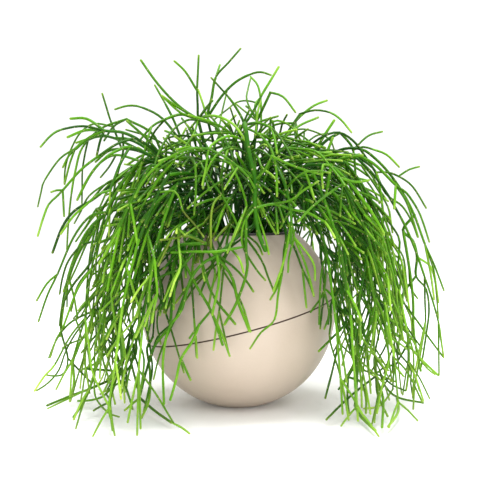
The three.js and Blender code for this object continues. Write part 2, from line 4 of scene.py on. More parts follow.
import bmesh
import bpy
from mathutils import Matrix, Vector


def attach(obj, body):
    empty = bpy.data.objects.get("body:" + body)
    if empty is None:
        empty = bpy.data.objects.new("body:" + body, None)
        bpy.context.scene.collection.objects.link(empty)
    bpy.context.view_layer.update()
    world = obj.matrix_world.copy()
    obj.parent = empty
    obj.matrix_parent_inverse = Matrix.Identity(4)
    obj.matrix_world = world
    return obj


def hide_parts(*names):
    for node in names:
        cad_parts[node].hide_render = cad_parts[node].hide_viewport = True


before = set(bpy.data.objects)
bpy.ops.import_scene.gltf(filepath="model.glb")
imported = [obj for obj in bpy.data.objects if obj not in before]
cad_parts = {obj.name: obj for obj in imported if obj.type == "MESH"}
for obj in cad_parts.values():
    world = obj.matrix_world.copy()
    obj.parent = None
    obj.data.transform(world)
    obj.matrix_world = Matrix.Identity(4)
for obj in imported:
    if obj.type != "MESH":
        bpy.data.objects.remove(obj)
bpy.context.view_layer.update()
scene = bpy.context.scene
mm = 0.001
print("frame loaded with", len(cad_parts), "nodes")


# A node with its settings, and its inputs set or linked
def addNode(tree, kind, inputs=None, **settings):
    node = tree.nodes.new(kind)
    for name, value in settings.items():
        setattr(node, name, value)
    for key, value in (inputs or {}).items():
        if isinstance(value, bpy.types.NodeSocket):
            tree.links.new(value, node.inputs[key])
        else:
            node.inputs[key].default_value = value
    return node


def addMath(tree, operation, *values):
    return addNode(tree, "ShaderNodeMath", dict(enumerate(values)), operation=operation).outputs[0]


def addRange(tree, *values):
    return addNode(tree, "ShaderNodeMapRange", dict(enumerate(values))).outputs[0]


def addMix(tree, share, first, second, blend="MIX"):
    values = {0: share, 6: first, 7: second}
    return addNode(tree, "ShaderNodeMix", values, data_type="RGBA", blend_type=blend).outputs[2]


def addShade(tree, colour, shade):
    return addMix(tree, 1.0, colour, shade, "MULTIPLY")


def addNoise(tree, place, scale, detail, roughness):
    values = {"Vector": place, "Scale": scale, "Detail": detail, "Roughness": roughness}
    return addNode(tree, "ShaderNodeTexNoise", values).outputs[0]


def addVector(tree, operation, *values):
    return addNode(tree, "ShaderNodeVectorMath", dict(enumerate(values)), operation=operation)


def readAttribute(tree, name):
    return addNode(tree, "ShaderNodeAttribute", attribute_name=name).outputs


# Colours over a value, each at its stop
def addRamp(tree, value, stops):
    ramp = addNode(tree, "ShaderNodeValToRGB", {"Fac": value})
    colours = ramp.color_ramp.elements
    colours[0].color = stops[0][1]
    colours[1].position, colours[1].color = stops[-1]
    for position, colour in stops[1:-1]:
        colours.new(position).color = colour
    return ramp.outputs["Color"]


# An empty tree with named inputs and outputs, and the sockets at its two ends
def newTree(name, kind, inputs, outputs):
    tree = bpy.data.node_groups.new(name, kind)
    for way, rows in (("INPUT", inputs), ("OUTPUT", outputs)):
        for label, data, *value in rows:
            socket = tree.interface.new_socket(label, in_out=way, socket_type="NodeSocket" + data)
            if value:
                socket.default_value = value[0]
    return tree, tree.nodes.new("NodeGroupInput").outputs, tree.nodes.new("NodeGroupOutput").inputs


# Numbers of the three groups below. The grain has detail and roughness, the dust noise its scale before them.
groupShape = {
    "mottleRoughness": 0.55,
    "grain": (2.0, 0.6),
    "pitDepth": 0.6,
    "dustNoise": (180.0, 4.0, 0.65),
    "dustFacing": (0.1, 0.95),
    "dustEdges": (0.38, 0.66),
}


# Soft cloudy mask, with Size the width of its patches in metres
def makeMottle():
    sizes = [("Size", "Float", 0.03), ("Detail", "Float", 3.0), ("Spread", "Float", 0.2)]
    inputs = [("Coordinates", "Vector"), *sizes]
    group, start, end = newTree("softMottle", "ShaderNodeTree", inputs, [("Mask", "Float")])
    scale = addMath(group, "DIVIDE", 1.0, start["Size"])
    noise = addNoise(group, start["Coordinates"], scale, start["Detail"], groupShape["mottleRoughness"])
    low, high = [addMath(group, side, 0.5, start["Spread"]) for side in ("SUBTRACT", "ADD")]
    group.links.new(addRange(group, noise, low, high), end["Mask"])
    return group


# Fine raised grain of moulded plastic and dry skin, as a height
def makeGrain():
    inputs = [("Coordinates", "Vector"), ("Size", "Float", 0.0006)]
    group, start, end = newTree("fineGrain", "ShaderNodeTree", inputs, [("Height", "Float")])
    scale = addMath(group, "DIVIDE", 1.0, start["Size"])
    coarse = addNoise(group, start["Coordinates"], scale, *groupShape["grain"])
    pits = addNode(group, "ShaderNodeTexVoronoi", {"Vector": start["Coordinates"], "Scale": scale})
    height = addMath(group, "MULTIPLY_ADD", pits.outputs["Distance"], groupShape["pitDepth"], coarse)
    group.links.new(height, end["Height"])
    return group


# Dust that settles where a surface faces up, in uneven patches
def makeDust():
    inputs = [("Coordinates", "Vector"), ("Amount", "Float", 0.3)]
    group, start, end = newTree("settledDust", "ShaderNodeTree", inputs, [("Mask", "Float")])
    normal = addNode(group, "ShaderNodeNewGeometry").outputs["Normal"]
    facing = addNode(group, "ShaderNodeSeparateXYZ", {0: normal}).outputs["Z"]
    upward = addRange(group, facing, *groupShape["dustFacing"])
    noise = addNoise(group, start["Coordinates"], *groupShape["dustNoise"])
    patches = addRange(group, noise, *groupShape["dustEdges"])
    mask = addMath(group, "MULTIPLY", addMath(group, "MULTIPLY", upward, patches), start["Amount"])
    group.links.new(mask, end["Mask"])
    return group


softMottle = makeMottle()
fineGrain = makeGrain()
settledDust = makeDust()


def placeGroup(tree, group, place, **values):
    return addNode(tree, "ShaderNodeGroup", {"Coordinates": place, **values}, node_tree=group).outputs[0]


def newMaterial(name, shader):
    material = bpy.data.materials.new(name)
    material.use_nodes = True
    tree = material.node_tree
    tree.nodes.clear()
    skin = addNode(tree, "ShaderNodeBsdfPrincipled", shader)
    addNode(tree, "ShaderNodeOutputMaterial", {"Surface": skin.outputs[0]})
    return material, tree, skin, tree.nodes.new("ShaderNodeTexCoord").outputs["Object"]


# The last nodes of a material: its colour, its roughness where that varies, and its fine relief
def finishSkin(tree, skin, look, colour, height, roughness=None):
    tree.links.new(colour, skin.inputs["Base Color"])
    if roughness:
        tree.links.new(roughness, skin.inputs["Roughness"])
    values = {"Height": height, "Strength": look["bump"], "Distance": look["relief"]}
    tree.links.new(addNode(tree, "ShaderNodeBump", values).outputs[0], skin.inputs["Normal"])


def linkMesh(name, mesh, material):
    piece = bpy.data.objects.new(name, mesh)
    mesh.materials.clear()
    mesh.materials.append(material)
    scene.collection.objects.link(piece)
    return piece


# Turned body whose profile may change round the axis. rowsAt gives (radius, height) in mm for an angle.
def turnedMesh(name, rowsAt, sides, closed, sharpAngle=40):
    shape = bmesh.new()
    rings = []
    for side in range(sides):
        angle = 2 * math.pi * side / sides
        for row, (radius, height) in enumerate(rowsAt(angle)):
            if side == 0:
                rings.append([])
            if side == 0 or radius >= 1e-6:  # a row on the axis is one point
                place = (radius * math.cos(angle) * mm, radius * math.sin(angle) * mm, height * mm)
                rings[row].append(shape.verts.new(place))
    pairs = list(zip(rings, rings[1:])) + ([(rings[-1], rings[0])] if closed else [])
    for low, high in pairs:
        for side in range(sides):
            corners = [(low, side), (low, side + 1), (high, side + 1), (high, side)]
            shape.faces.new(list(dict.fromkeys(ring[at % len(ring)] for ring, at in corners)))
    bmesh.ops.recalc_face_normals(shape, faces=shape.faces)
    mesh = bpy.data.meshes.new(name)
    shape.to_mesh(mesh)
    shape.free()
    mesh.polygons.foreach_set("use_smooth", [True] * len(mesh.polygons))
    mesh.set_sharp_from_angle(angle=math.radians(sharpAngle))
    return mesh


def between(low, high, count):
    return [low + (high - low) * i / count for i in range(count + 1)]


# Profile points set off from a corner
def setOff(radius, height, offsets):
    return [(radius + across, height + up) for across, up in offsets]


# Planter of two shells that meet at a tilted seam, with a tongue inside it. Millimetres and degrees.
planter = {
    "ballRadius": 102.5,
    "footRadius": 30,
    "footRings": (0.6, 0.4),
    "footEdge": ((-1.4, 0), (0.8, 0.22)),
    "footRise": 1.0,
    "rimHeight": 180.6,
    "rimDrop": 1.0,
    "rimOuter": ((-0.55, -0.35), (-1.3, 0)),
    "rimInner": ((0.5, 0), (0.1, -0.4)),
    "wall": 3.2,
    "floorThickness": 4,
    "seamTilt": 14.3,
    "seamDrop": 8.6,
    "seamGap": 0.9,
    "seamRound": 0.45,
    "seamRows": 4,
    "tongueWall": 1.45,
    "tongueRise": 5,
    "tongueEdge": 0.3,
    "crease": 0.2,
    "fitGap": 0.3,
    "sides": 144,
    "rows": 36,
}
ballHeight = math.sqrt(planter["ballRadius"] ** 2 - planter["footRadius"] ** 2)
tilt = math.radians(planter["seamTilt"])
innerRadius = planter["ballRadius"] - planter["wall"]
tongueRadius = innerRadius + planter["tongueWall"]

plasticLook = {
    "shader": {"Roughness": 0.42, "IOR": 1.4},
    "warm": (0.445, 0.365, 0.291, 1),
    "pale": (0.475, 0.395, 0.321, 1),
    "patch": 0.055,
    "fleck": (0.62, 0.5, 0.38, 1),
    "flecks": {"Size": 0.0016, "Detail": 1.0, "Spread": 0.16},
    "fleckShare": 0.05,
    "dust": (0.515, 0.468, 0.4, 1),
    "dustShare": 0.25,
    "dustRoughness": 0.3,
    "roughness": (0.38, 0.46),
    # painted shade in the seam groove, and how far it spreads from the seam plane
    "joint": (0.07, 0.036, 0.022, 1),
    "seamShadeEdge": (0.0009, 0.0005),
    "grain": 0.00045,
    "bump": 0.12,
    "relief": 0.00004,
}


# Painted shade in the groove between the two shells: dark near the seam plane
def seamShadeMask(tree, place):
    fromCentre = addVector(tree, "SUBTRACT", place, (0, 0, ballHeight * mm)).outputs[0]
    rise = addVector(tree, "DOT_PRODUCT", fromCentre, (-math.sin(tilt), 0, math.cos(tilt))).outputs["Value"]
    off = addMath(tree, "ABSOLUTE", addMath(tree, "ADD", rise, planter["seamDrop"] * mm))
    return addRange(tree, off, *plasticLook["seamShadeEdge"])


def makePlanterPlastic():
    look = plasticLook
    material, tree, skin, place = newMaterial("planterPlastic", look["shader"])
    patches = placeGroup(tree, softMottle, place, Size=look["patch"])
    colour = addMix(tree, patches, look["warm"], look["pale"])
    flecks = placeGroup(tree, softMottle, place, **look["flecks"])
    colour = addMix(tree, addMath(tree, "MULTIPLY", flecks, look["fleckShare"]), colour, look["fleck"])
    dust = placeGroup(tree, settledDust, place, Amount=look["dustShare"])
    colour = addMix(tree, dust, colour, look["dust"])
    # painted shade along the seam groove
    colour = addMix(tree, seamShadeMask(tree, place), colour, look["joint"])
    rough = addRange(tree, patches, 0, 1, *look["roughness"])
    rough = addMath(tree, "MULTIPLY_ADD", dust, look["dustRoughness"], rough)
    finishSkin(tree, skin, look, colour, placeGroup(tree, fineGrain, place, Size=look["grain"]), rough)
    return material


# Elevation on a ball of that radius where the seam plane, raised by rise, crosses it
def onSeam(angle, radius, rise):
    across = math.sin(tilt) * math.cos(angle)
    reach = math.hypot(math.cos(tilt), across)
    bend = math.atan2(across, math.cos(tilt))
    return bend + math.asin((rise - planter["seamDrop"]) / (radius * reach))


def onBall(radius, elevation):
    return radius * math.cos(elevation), ballHeight + radius * math.sin(elevation)


def atHeight(radius, height):
    return math.asin((height - ballHeight) / radius)


def alongSeam(angle, rows):
    return [onBall(radius, onSeam(angle, radius, rise)) for radius, rise in rows]


def alongBall(radius, start, end):
    return [onBall(radius, elevation) for elevation in between(start, end, planter["rows"])]


# The rounded outer edge of a shell at the seam, side 1 below it and -1 above
def seamCorner(angle, rise, side):
    rounding = planter["seamRound"]
    rows = []
    for turn in between(0, math.pi / 2, planter["seamRows"]):
        radius = planter["ballRadius"] - rounding + rounding * math.cos(turn)
        rows.append((radius, rise - side * (rounding - rounding * math.sin(turn))))
    return alongSeam(angle, rows)


def lowerRows(angle):
    ball, foot, floor = planter["ballRadius"], planter["footRadius"], planter["floorThickness"]
    top, rise = -planter["seamGap"] / 2, planter["tongueRise"]
    edge, crease = planter["tongueEdge"], planter["crease"]
    under, inside = planter["footRings"]
    seam = onSeam(angle, ball, top - planter["seamRound"])
    rows = [(0, 0), (foot * under, 0)] + setOff(foot, 0, planter["footEdge"])
    rows += alongBall(ball, atHeight(ball, planter["footRise"]), seam)[:-1] + seamCorner(angle, top, 1)
    rows += alongSeam(angle, [
        (tongueRadius + crease, top), (tongueRadius, top + crease), (tongueRadius, rise - edge),
        (tongueRadius - edge, rise), (innerRadius + crease, rise),
    ])
    rows += alongBall(innerRadius, onSeam(angle, innerRadius, rise - crease), atHeight(innerRadius, floor))
    return rows + [(foot * inside, floor), (0, floor)]


def upperRows(angle):
    ball, rim, bottom = planter["ballRadius"], planter["rimHeight"], planter["seamGap"] / 2
    shoulder = rim - planter["rimDrop"]
    socket, rise = tongueRadius + planter["fitGap"], planter["tongueRise"] + planter["fitGap"]
    seam = onSeam(angle, ball, bottom + planter["seamRound"])
    rows = seamCorner(angle, bottom, -1)[::-1] + alongBall(ball, seam, atHeight(ball, shoulder))[1:]
    inner = math.sqrt(innerRadius**2 - (rim - ballHeight) ** 2)
    rows += setOff(rows[-1][0], rim, planter["rimOuter"]) + setOff(inner, rim, planter["rimInner"])
    rows += alongBall(innerRadius, atHeight(innerRadius, shoulder), onSeam(angle, innerRadius, rise))
    return rows + alongSeam(angle, [(socket, rise), (socket, bottom)])


planterPlastic = makePlanterPlastic()
for name, rowsAt, closed in (("pot_lower_shell", lowerRows, False), ("pot_upper_shell", upperRows, True)):
    shellName = name.replace("pot", "planter")
    shell = linkMesh(shellName, turnedMesh(shellName, rowsAt, planter["sides"], closed), planterPlastic)
    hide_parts(name)
    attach(shell, "root")
print("planter shells made")


# Nursery pot that hangs in the planter's mouth by its flange
growPotSizes = {
    "flangeRadius": 59.5,
    "flangeThickness": 2,
    "flangeRoot": ((0.35, -1.2), (1.4, 0)),
    "flangeUnder": ((-0.6, 0), (-0.15, 0.25), (0, 0.9)),
    "flangeUpper": ((-0.3, -0.45), (-1.0, -0.1), (-1.8, 0)),
    "flangeFlat": 0.6,
    "mouthEdge": ((0.7, -0.05), (0.1, -0.5)),
    "topRadius": 53.5,
    "footRadius": 44,
    "footEdge": ((-6, 0.6), (-3, 0), (-0.8, 0), (-0.1, 0.7)),
    "footHollow": (20, 1.2),
    "depth": 112,
    "wall": 1.6,
    "wallOutside": (0.02, 0.93, 8),
    "wallInside": (0.98, 0.02, 8),
    "floorEdge": 1,
    "fitGap": 0.3,
    "sides": 96,
}
flangeBase = planter["rimHeight"] + growPotSizes["fitGap"]
flangeTop = flangeBase + growPotSizes["flangeThickness"]
growFoot = flangeTop - growPotSizes["depth"]
mouthRadius = growPotSizes["topRadius"] - growPotSizes["wall"]

growPlasticLook = {
    "shader": {"Roughness": 0.45, "IOR": 1.48},
    "black": (0.012, 0.012, 0.013, 1),
    "scuffed": (0.05, 0.048, 0.046, 1),
    "scuff": {"Size": 0.006, "Detail": 5.0, "Spread": 0.12},
    "dust": (0.2, 0.17, 0.14, 1),
    "dustShare": 0.35,
    "roughness": (0.4, 0.6),
    "grain": 0.0007,
    "bump": 0.25,
    "relief": 0.00006,
}


def makeGrowPlastic():
    look = growPlasticLook
    material, tree, skin, place = newMaterial("growPotPlastic", look["shader"])
    scuffs = placeGroup(tree, softMottle, place, **look["scuff"])
    colour = addMix(tree, addRange(tree, scuffs, 0.5, 1), look["black"], look["scuffed"])
    dust = placeGroup(tree, settledDust, place, Amount=look["dustShare"])
    colour = addMix(tree, dust, colour, look["dust"])
    grain = placeGroup(tree, fineGrain, place, Size=look["grain"])
    finishSkin(tree, skin, look, colour, grain, addRange(tree, scuffs, 0, 1, *look["roughness"]))
    return material


def growRows(angle):
    foot, top, wall = growPotSizes["footRadius"], growPotSizes["topRadius"], growPotSizes["wall"]
    flange, edge = growPotSizes["flangeRadius"], growPotSizes["floorEdge"]
    hollow, rise = growPotSizes["footHollow"]
    rows = [(0, growFoot + rise), (hollow, growFoot + rise)]
    rows += setOff(foot, growFoot, growPotSizes["footEdge"])
    for share in between(*growPotSizes["wallOutside"]):
        rows.append((foot + (top - foot) * share, growFoot + (flangeBase - growFoot) * share))
    rows += setOff(top, flangeBase, growPotSizes["flangeRoot"])
    rows += setOff(flange, flangeBase, growPotSizes["flangeUnder"])
    rows += setOff(flange, flangeTop, growPotSizes["flangeUpper"])
    rows += [(top + growPotSizes["flangeFlat"], flangeTop)]
    rows += setOff(mouthRadius, flangeTop, growPotSizes["mouthEdge"])
    for share in between(*growPotSizes["wallInside"]):
        height = growFoot + (flangeTop - growFoot) * share + wall * (1 - share)
        rows.append((foot + (top - foot) * share - wall, height))
    return rows + [(foot - wall - edge, growFoot + wall), (0, growFoot + wall + edge)]


growPotPlastic = makeGrowPlastic()
growPotMesh = turnedMesh("nursery_pot", growRows, growPotSizes["sides"], False)
growPot = linkMesh("nursery_pot", growPotMesh, growPotPlastic)
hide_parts("grow_pot")
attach(growPot, "root")


# Potting soil with a lumpy top. Each wave is its count across x and y and its start.
soilSizes = {
    "drop": 10,
    "holeDepth": 14,
    "underside": 1.4,
    "skirt": 3,
    "skirtRows": 4,
    "footEdge": 1,
    "edgeGap": 0.4,
    "edgeRound": 0.3,
    "lump": 1.1,
    "waves": (
        (0.21, 0.13, 0.4), (-0.17, 0.26, 1.9), (0.39, -0.31, 3.3), (0.62, 0.55, 5.1), (-0.9, 0.47, 0.9),
    ),
    "waveFade": 0.55,
    "waveHeight": 0.42,
    "rings": 22,
    "sides": 120,
}
soilTop = flangeTop - soilSizes["drop"]
soilLook = {
    "shader": {"Roughness": 0.95, "Specular IOR Level": 0.25},
    "dark": (0.018, 0.011, 0.007, 1),
    "brown": (0.075, 0.045, 0.026, 1),
    "clod": 0.005,
    "roughness": (0.98, 0.82),
    "grain": 0.0011,
    "bump": 0.8,
    "relief": 0.0005,
}


def makeSoilSkin():
    look = soilLook
    material, tree, skin, place = newMaterial("pottingSoil", look["shader"])
    clods = placeGroup(tree, softMottle, place, Size=look["clod"], Detail=6.0)
    colour = addMix(tree, clods, look["dark"], look["brown"])
    grain = placeGroup(tree, fineGrain, place, Size=look["grain"])
    finishSkin(tree, skin, look, colour, grain, addRange(tree, clods, 0, 1, *look["roughness"]))
    return material


def soilHeight(x, y):
    total = 0
    for k, (a, b, c) in enumerate(soilSizes["waves"]):
        total += math.sin(a * x + b * y + c) / (1 + k * soilSizes["waveFade"])
    return soilTop + soilSizes["lump"] * total * soilSizes["waveHeight"]


def soilRows(angle):
    wide = mouthRadius - planter["fitGap"]
    foot = growPotSizes["footRadius"] - growPotSizes["wall"] - planter["fitGap"]
    low = growFoot + growPotSizes["wall"] + soilSizes["underside"]
    edge = wide - (wide - foot) * (flangeBase - soilTop) / (flangeBase - growFoot) - soilSizes["edgeGap"]
    rows = [(0, low), (foot - soilSizes["footEdge"], low)]
    rise = soilTop - soilSizes["skirt"] - low
    shares = between(0, 1, soilSizes["skirtRows"])
    rows += [(foot + (edge - foot) * share, low + rise * share) for share in shares]
    for radius in between(0, edge - soilSizes["edgeRound"], soilSizes["rings"])[::-1]:
        rows.append((radius, soilHeight(radius * math.cos(angle), radius * math.sin(angle))))
    return rows


pottingSoil = makeSoilSkin()
soilMesh = turnedMesh("potting_soil", soilRows, soilSizes["sides"], False, 60)
soil = linkMesh("potting_soil", soilMesh, pottingSoil)
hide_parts("soil")
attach(soil, "root")


# Geometry trees start with a geometry and end in plain painted meshes
def newNodes(name, inputs):
    shape = ("Geometry", "Geometry")
    return newTree(name, "GeometryNodeTree", [shape, *inputs, ("Material", "Material")], [shape])


def endNodes(tree, geometry, start, end):
    solid = addNode(tree, "GeometryNodeRealizeInstances", {0: geometry}).outputs[0]
    painted = addNode(tree, "GeometryNodeSetMaterial", {"Geometry": solid, "Material": start["Material"]})
    tree.links.new(painted.outputs[0], end[0])
    return tree


def addBall(tree, radius):
    return addNode(tree, "GeometryNodeMeshIcoSphere", {"Radius": radius, "Subdivisions": 1}).outputs[0]


def addRandom(tree, low, high, seed):
    values = {0: low, 1: high, "Seed": seed}
    return addNode(tree, "FunctionNodeRandomValue", values, data_type="FLOAT_VECTOR").outputs[0]


anyTurn = ((0, 0, 0), (6.28, 6.28, 6.28))


# One shape on every point, each turned any way
def addCopies(tree, points, shape, widths, seed):
    turns = addRandom(tree, *anyTurn, seed)
    values = {"Points": points, "Instance": shape, "Rotation": turns, "Scale": widths}
    return addNode(tree, "GeometryNodeInstanceOnPoints", values).outputs[0]


def storeValue(tree, geometry, name, value, kind, domain):
    values = {"Geometry": geometry, "Name": name, "Value": value}
    stored = addNode(tree, "GeometryNodeStoreNamedAttribute", values, data_type=kind, domain=domain)
    return stored.outputs[0]


# Runs a tree on a mesh and keeps the result as a plain mesh
def growMesh(name, mesh, tree, values):
    base = bpy.data.objects.new(name + "_base", mesh)
    scene.collection.objects.link(base)
    modifier = base.modifiers.new(tree.name, "NODES")
    modifier.node_group = tree
    sockets = {item.name: item.identifier for item in tree.interface.items_tree if item.in_out == "INPUT"}
    for label, value in values.items():
        modifier[sockets[label]] = value
    evaluated = base.evaluated_get(bpy.context.evaluated_depsgraph_get())
    result = bpy.data.meshes.new_from_object(evaluated)
    result.name = name
    base.modifiers.remove(modifier)
    bpy.data.objects.remove(base)
    return result


# Crumbs of peat, bark and grit strewn on the soil
crumbSizes = {
    "count": 1900,
    "spread": 50,
    "size": 1.25,
    "seed": 31,
    "flatEnough": 0.4,
    "belowTop": 6,
    "jag": 0.42,
    "widths": ((0.35, 0.3, 0.25), (1.7, 1.1, 0.8)),
    "widthSeed": 9,
    "turnSeed": 5,
    "toneSeed": 3,
}
crumbLook = {
    "shader": {"Roughness": 0.9, "Specular IOR Level": 0.3},
    "bark": (0.16, 0.09, 0.045, 1),
    "grit": (0.55, 0.52, 0.47, 1),
    "gritFrom": 0.93,
    "patch": 0.0012,
    "shade": (0.65, 1.0),
    "grain": 0.0005,
    "bump": 0.7,
    "relief": 0.0002,
}


# Crumbs take their colour from the number that each was given: peat, bark or pale grit
def makeCrumbSkin():
    look = crumbLook
    material, tree, skin, place = newMaterial("soilCrumbs", look["shader"])
    tone = readAttribute(tree, "tone")["Fac"]
    colour = addRamp(tree, tone, ((0, soilLook["dark"]), (0.5, soilLook["brown"]), (0.9, look["bark"])))
    colour = addMix(tree, addMath(tree, "GREATER_THAN", tone, look["gritFrom"]), colour, look["grit"])
    patches = placeGroup(tree, softMottle, place, Size=look["patch"], Detail=4.0)
    colour = addShade(tree, colour, addRange(tree, patches, 0, 1, *look["shade"]))
    finishSkin(tree, skin, look, colour, placeGroup(tree, fineGrain, place, Size=look["grain"]))
    return material


def makeCrumbNodes():
    inputs = [("Count", "Float", 1000.0), ("Size", "Float", 0.001), ("Seed", "Int", 0)]
    tree, start, end = newNodes("strewnCrumbs", inputs)
    limits = {"Normal": crumbSizes["flatEnough"], "Position": (soilTop - crumbSizes["belowTop"]) * mm}
    above = {}
    for index, (kind, limit) in enumerate(limits.items()):
        value = addNode(tree, "GeometryNodeInput" + kind).outputs[0]
        upward = addNode(tree, "ShaderNodeSeparateXYZ", {0: value}).outputs["Z"]
        above[index] = addNode(tree, "FunctionNodeCompare", {0: upward, 1: limit}).outputs[0]
    isTop = addNode(tree, "FunctionNodeBooleanMath", above).outputs[0]
    points = addNode(
        tree, "GeometryNodeDistributePointsOnFaces",
        {"Mesh": start["Geometry"], "Selection": isTop, "Density": start["Count"], "Seed": start["Seed"]},
    ).outputs[0]
    jag = crumbSizes["jag"]
    lumps = addRandom(tree, (-jag, -jag, -jag), (jag, jag, jag), start["Seed"])
    push = addNode(tree, "ShaderNodeVectorMath", {0: lumps, "Scale": start["Size"]}, operation="SCALE")
    values = {"Geometry": addBall(tree, start["Size"]), "Offset": push.outputs[0]}
    rough = addNode(tree, "GeometryNodeSetPosition", values).outputs[0]
    widths = addRandom(tree, *crumbSizes["widths"], crumbSizes["widthSeed"])
    strewn = addCopies(tree, points, rough, widths, crumbSizes["turnSeed"])
    tone = addNode(tree, "FunctionNodeRandomValue", {"Seed": crumbSizes["toneSeed"]}).outputs[1]
    return endNodes(tree, storeValue(tree, strewn, "tone", tone, "FLOAT", "INSTANCE"), start, end)


soilCrumbs = makeCrumbSkin()
crumbValues = {
    "Count": crumbSizes["count"] / (math.pi * (crumbSizes["spread"] * mm) ** 2),
    "Size": crumbSizes["size"] * mm,
    "Seed": crumbSizes["seed"],
    "Material": soilCrumbs,
}
crumbMesh = growMesh("soil_crumbs", soil.data.copy(), makeCrumbNodes(), crumbValues)
crumbs = linkMesh("soil_crumbs", crumbMesh, soilCrumbs)
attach(crumbs, "root")
print("grow pot, soil and", len(crumbMesh.polygons), "crumb faces made")


# Everything that a stem follows, in millimetres. The first stems of each spray are the solid ones.
plant = {
    "sprayCount": 54,
    "rootSpread": 44.84,
    "rootDepth": 1,
    "collar": 2.5,
    "upperLeader": 3,
    "seed": 2718,
    "seedStep": 7919,
    "radii": (1.7, 1.55, 1.55, 1.4),
    "sideFactor": 1.25,
    "stemGap": 0.4,
    "offPlanter": 3.2,
    "mouthEdge": 6,
    "stride": 25,
    "leastStride": 0.45,
    "upright": 0.9,
    "segmentFacets": 6,
    "jointFacets": 22,
    "facetLimit": {"reaching": 170, "crown": 150, "drape": 190, "curtain": 290, "net": 250},
    "crownHeight": 304,
    "widest": 212,
    "clearFront": {"depth": -60, "middle": 25, "half": 75, "height": 66},
    "cell": 24,
    "wallTests": (0.2, 0.4, 0.6, 0.8, 1),
}
lehmer = {"factor": 16807, "modulus": 2147483647}
flangeReach = math.hypot(growPotSizes["flangeRadius"], flangeTop - ballHeight)
wholeTurn = 2 * math.pi


def plus(a, b):
    return (a[0] + b[0], a[1] + b[1], a[2] + b[2])


def minus(a, b):
    return (a[0] - b[0], a[1] - b[1], a[2] - b[2])


def times(a, k):
    return (a[0] * k, a[1] * k, a[2] * k)


def dot(a, b):
    return a[0] * b[0] + a[1] * b[1] + a[2] * b[2]


def size(a):
    return math.sqrt(dot(a, a))


def unit(a):
    return times(a, 1 / size(a))


def cross(a, b):
    return (a[1] * b[2] - a[2] * b[1], a[2] * b[0] - a[0] * b[2], a[0] * b[1] - a[1] * b[0])


def onWay(a, b, share):
    return plus(times(a, 1 - share), times(b, share))


def rounded(a):
    return tuple(math.floor(value * 100 + 0.5) / 100 for value in a)


def makeRandom(start):
    state = start

    def draw(low, high):
        nonlocal state
        state = state * lehmer["factor"] % lehmer["modulus"]
        return low + (high - low) * (state - 1) / (lehmer["modulus"] - 1)

    draw(0, 1)
    draw(0, 1)
    return draw


def segmentDistance(p, q, r, s):
    along, other, apart = minus(q, p), minus(s, r), minus(p, r)
    a, e, f = dot(along, along), dot(other, other), dot(other, apart)
    b, c = dot(along, other), dot(along, apart)
    base = a * e - b * b
    u = min(1, max(0, (b * f - c * e) / base)) if base > 1e-9 else 0
    v = (b * u + f) / e
    if v < 0 or v > 1:
        v = min(1, max(0, v))
        u = min(1, max(0, (b * v - c) / a))
    return size(minus(plus(p, times(along, u)), plus(r, times(other, v))))


# Stems already grown, kept by the cells of a coarse grid
grown = {}


def cellsOf(p, q, reach):
    cell = plant["cell"]
    return itertools.product(*(
        range(math.floor((min(a, b) - reach) / cell), math.floor((max(a, b) + reach) / cell) + 1)
        for a, b in zip(p, q)
    ))


# A segment with its middle and half length, for a quick test of what is near
def segmentRows(points):
    return [(p, q, times(plus(p, q), 0.5), size(minus(q, p)) / 2) for p, q in zip(points, points[1:])]


def keepStem(points, radius, owner):
    for p, q, middle, half in segmentRows(points):
        row = (p, q, radius, owner, middle, half)
        for key in cellsOf(p, q, radius):
            grown.setdefault(key, []).append(row)


def clearsPlanter(points, radius):
    for p, q in zip(points, points[1:]):
        for share in plant["wallTests"]:
            x, y, z = onWay(p, q, share)
            inMouth = math.hypot(x, y) < mouthRadius - radius - plant["stemGap"]
            inside = z > soilTop - soilSizes["holeDepth"] and inMouth
            if not inside and size((x, y, z - ballHeight)) <= flangeReach + radius + plant["stemGap"]:
                return False
    return True


def isClear(points, radius, owner, gap):
    if not clearsPlanter(points, radius):
        return False
    for p, q, middle, half in segmentRows(points):
        seen = set()
        for key in cellsOf(p, q, radius + gap):
            for row in grown.get(key, ()):
                r, s, other, who, centre, halfOther = row
                if who == owner or id(row) in seen:
                    continue
                seen.add(id(row))
                need = radius + other + gap
                far = minus(middle, centre)
                isNear = dot(far, far) <= (half + halfOther + need) ** 2
                if isNear and segmentDistance(p, q, r, s) < need:
                    return False
    return True


# Moves a point out of the planter and up off the floor
def keepOff(point, radius):
    reach = planter["ballRadius"] + radius + plant["offPlanter"]
    away = (point[0], point[1], point[2] - ballHeight)
    far = size(away)
    overWall = math.hypot(point[0], point[1]) > growPotSizes["topRadius"] - plant["mouthEdge"]
    if far < reach and (overWall or point[2] < soilTop):
        point = plus((0, 0, ballHeight), times(away, reach / far))
    return rounded((point[0], point[1], max(point[2], radius + plant["stemGap"])))


def stepCount(length, stride):
    return max(2, math.floor(length / stride + 0.5))


# An arched stem between two points, bowed to one side
def arc(start, end, lift, bow, radius):
    steps = stepCount(size(minus(end, start)), plant["stride"])
    points = [start]
    for i in range(1, steps + 1):
        t = i / steps
        hump = 4 * t * (1 - t)
        raised = (bow[0] * hump, bow[1] * hump, (bow[2] + lift) * hump)
        points.append(keepOff(plus(onWay(start, end, t), raised), radius))
    return points


def leavesCrown(point):
    x, y, z = point
    clear = plant["clearFront"]
    outside = z > plant["crownHeight"] or math.hypot(x, y) > plant["widest"]
    overFront = y < clear["depth"] and abs(x - clear["middle"]) < clear["half"] and z < clear["height"]
    return outside or overFront


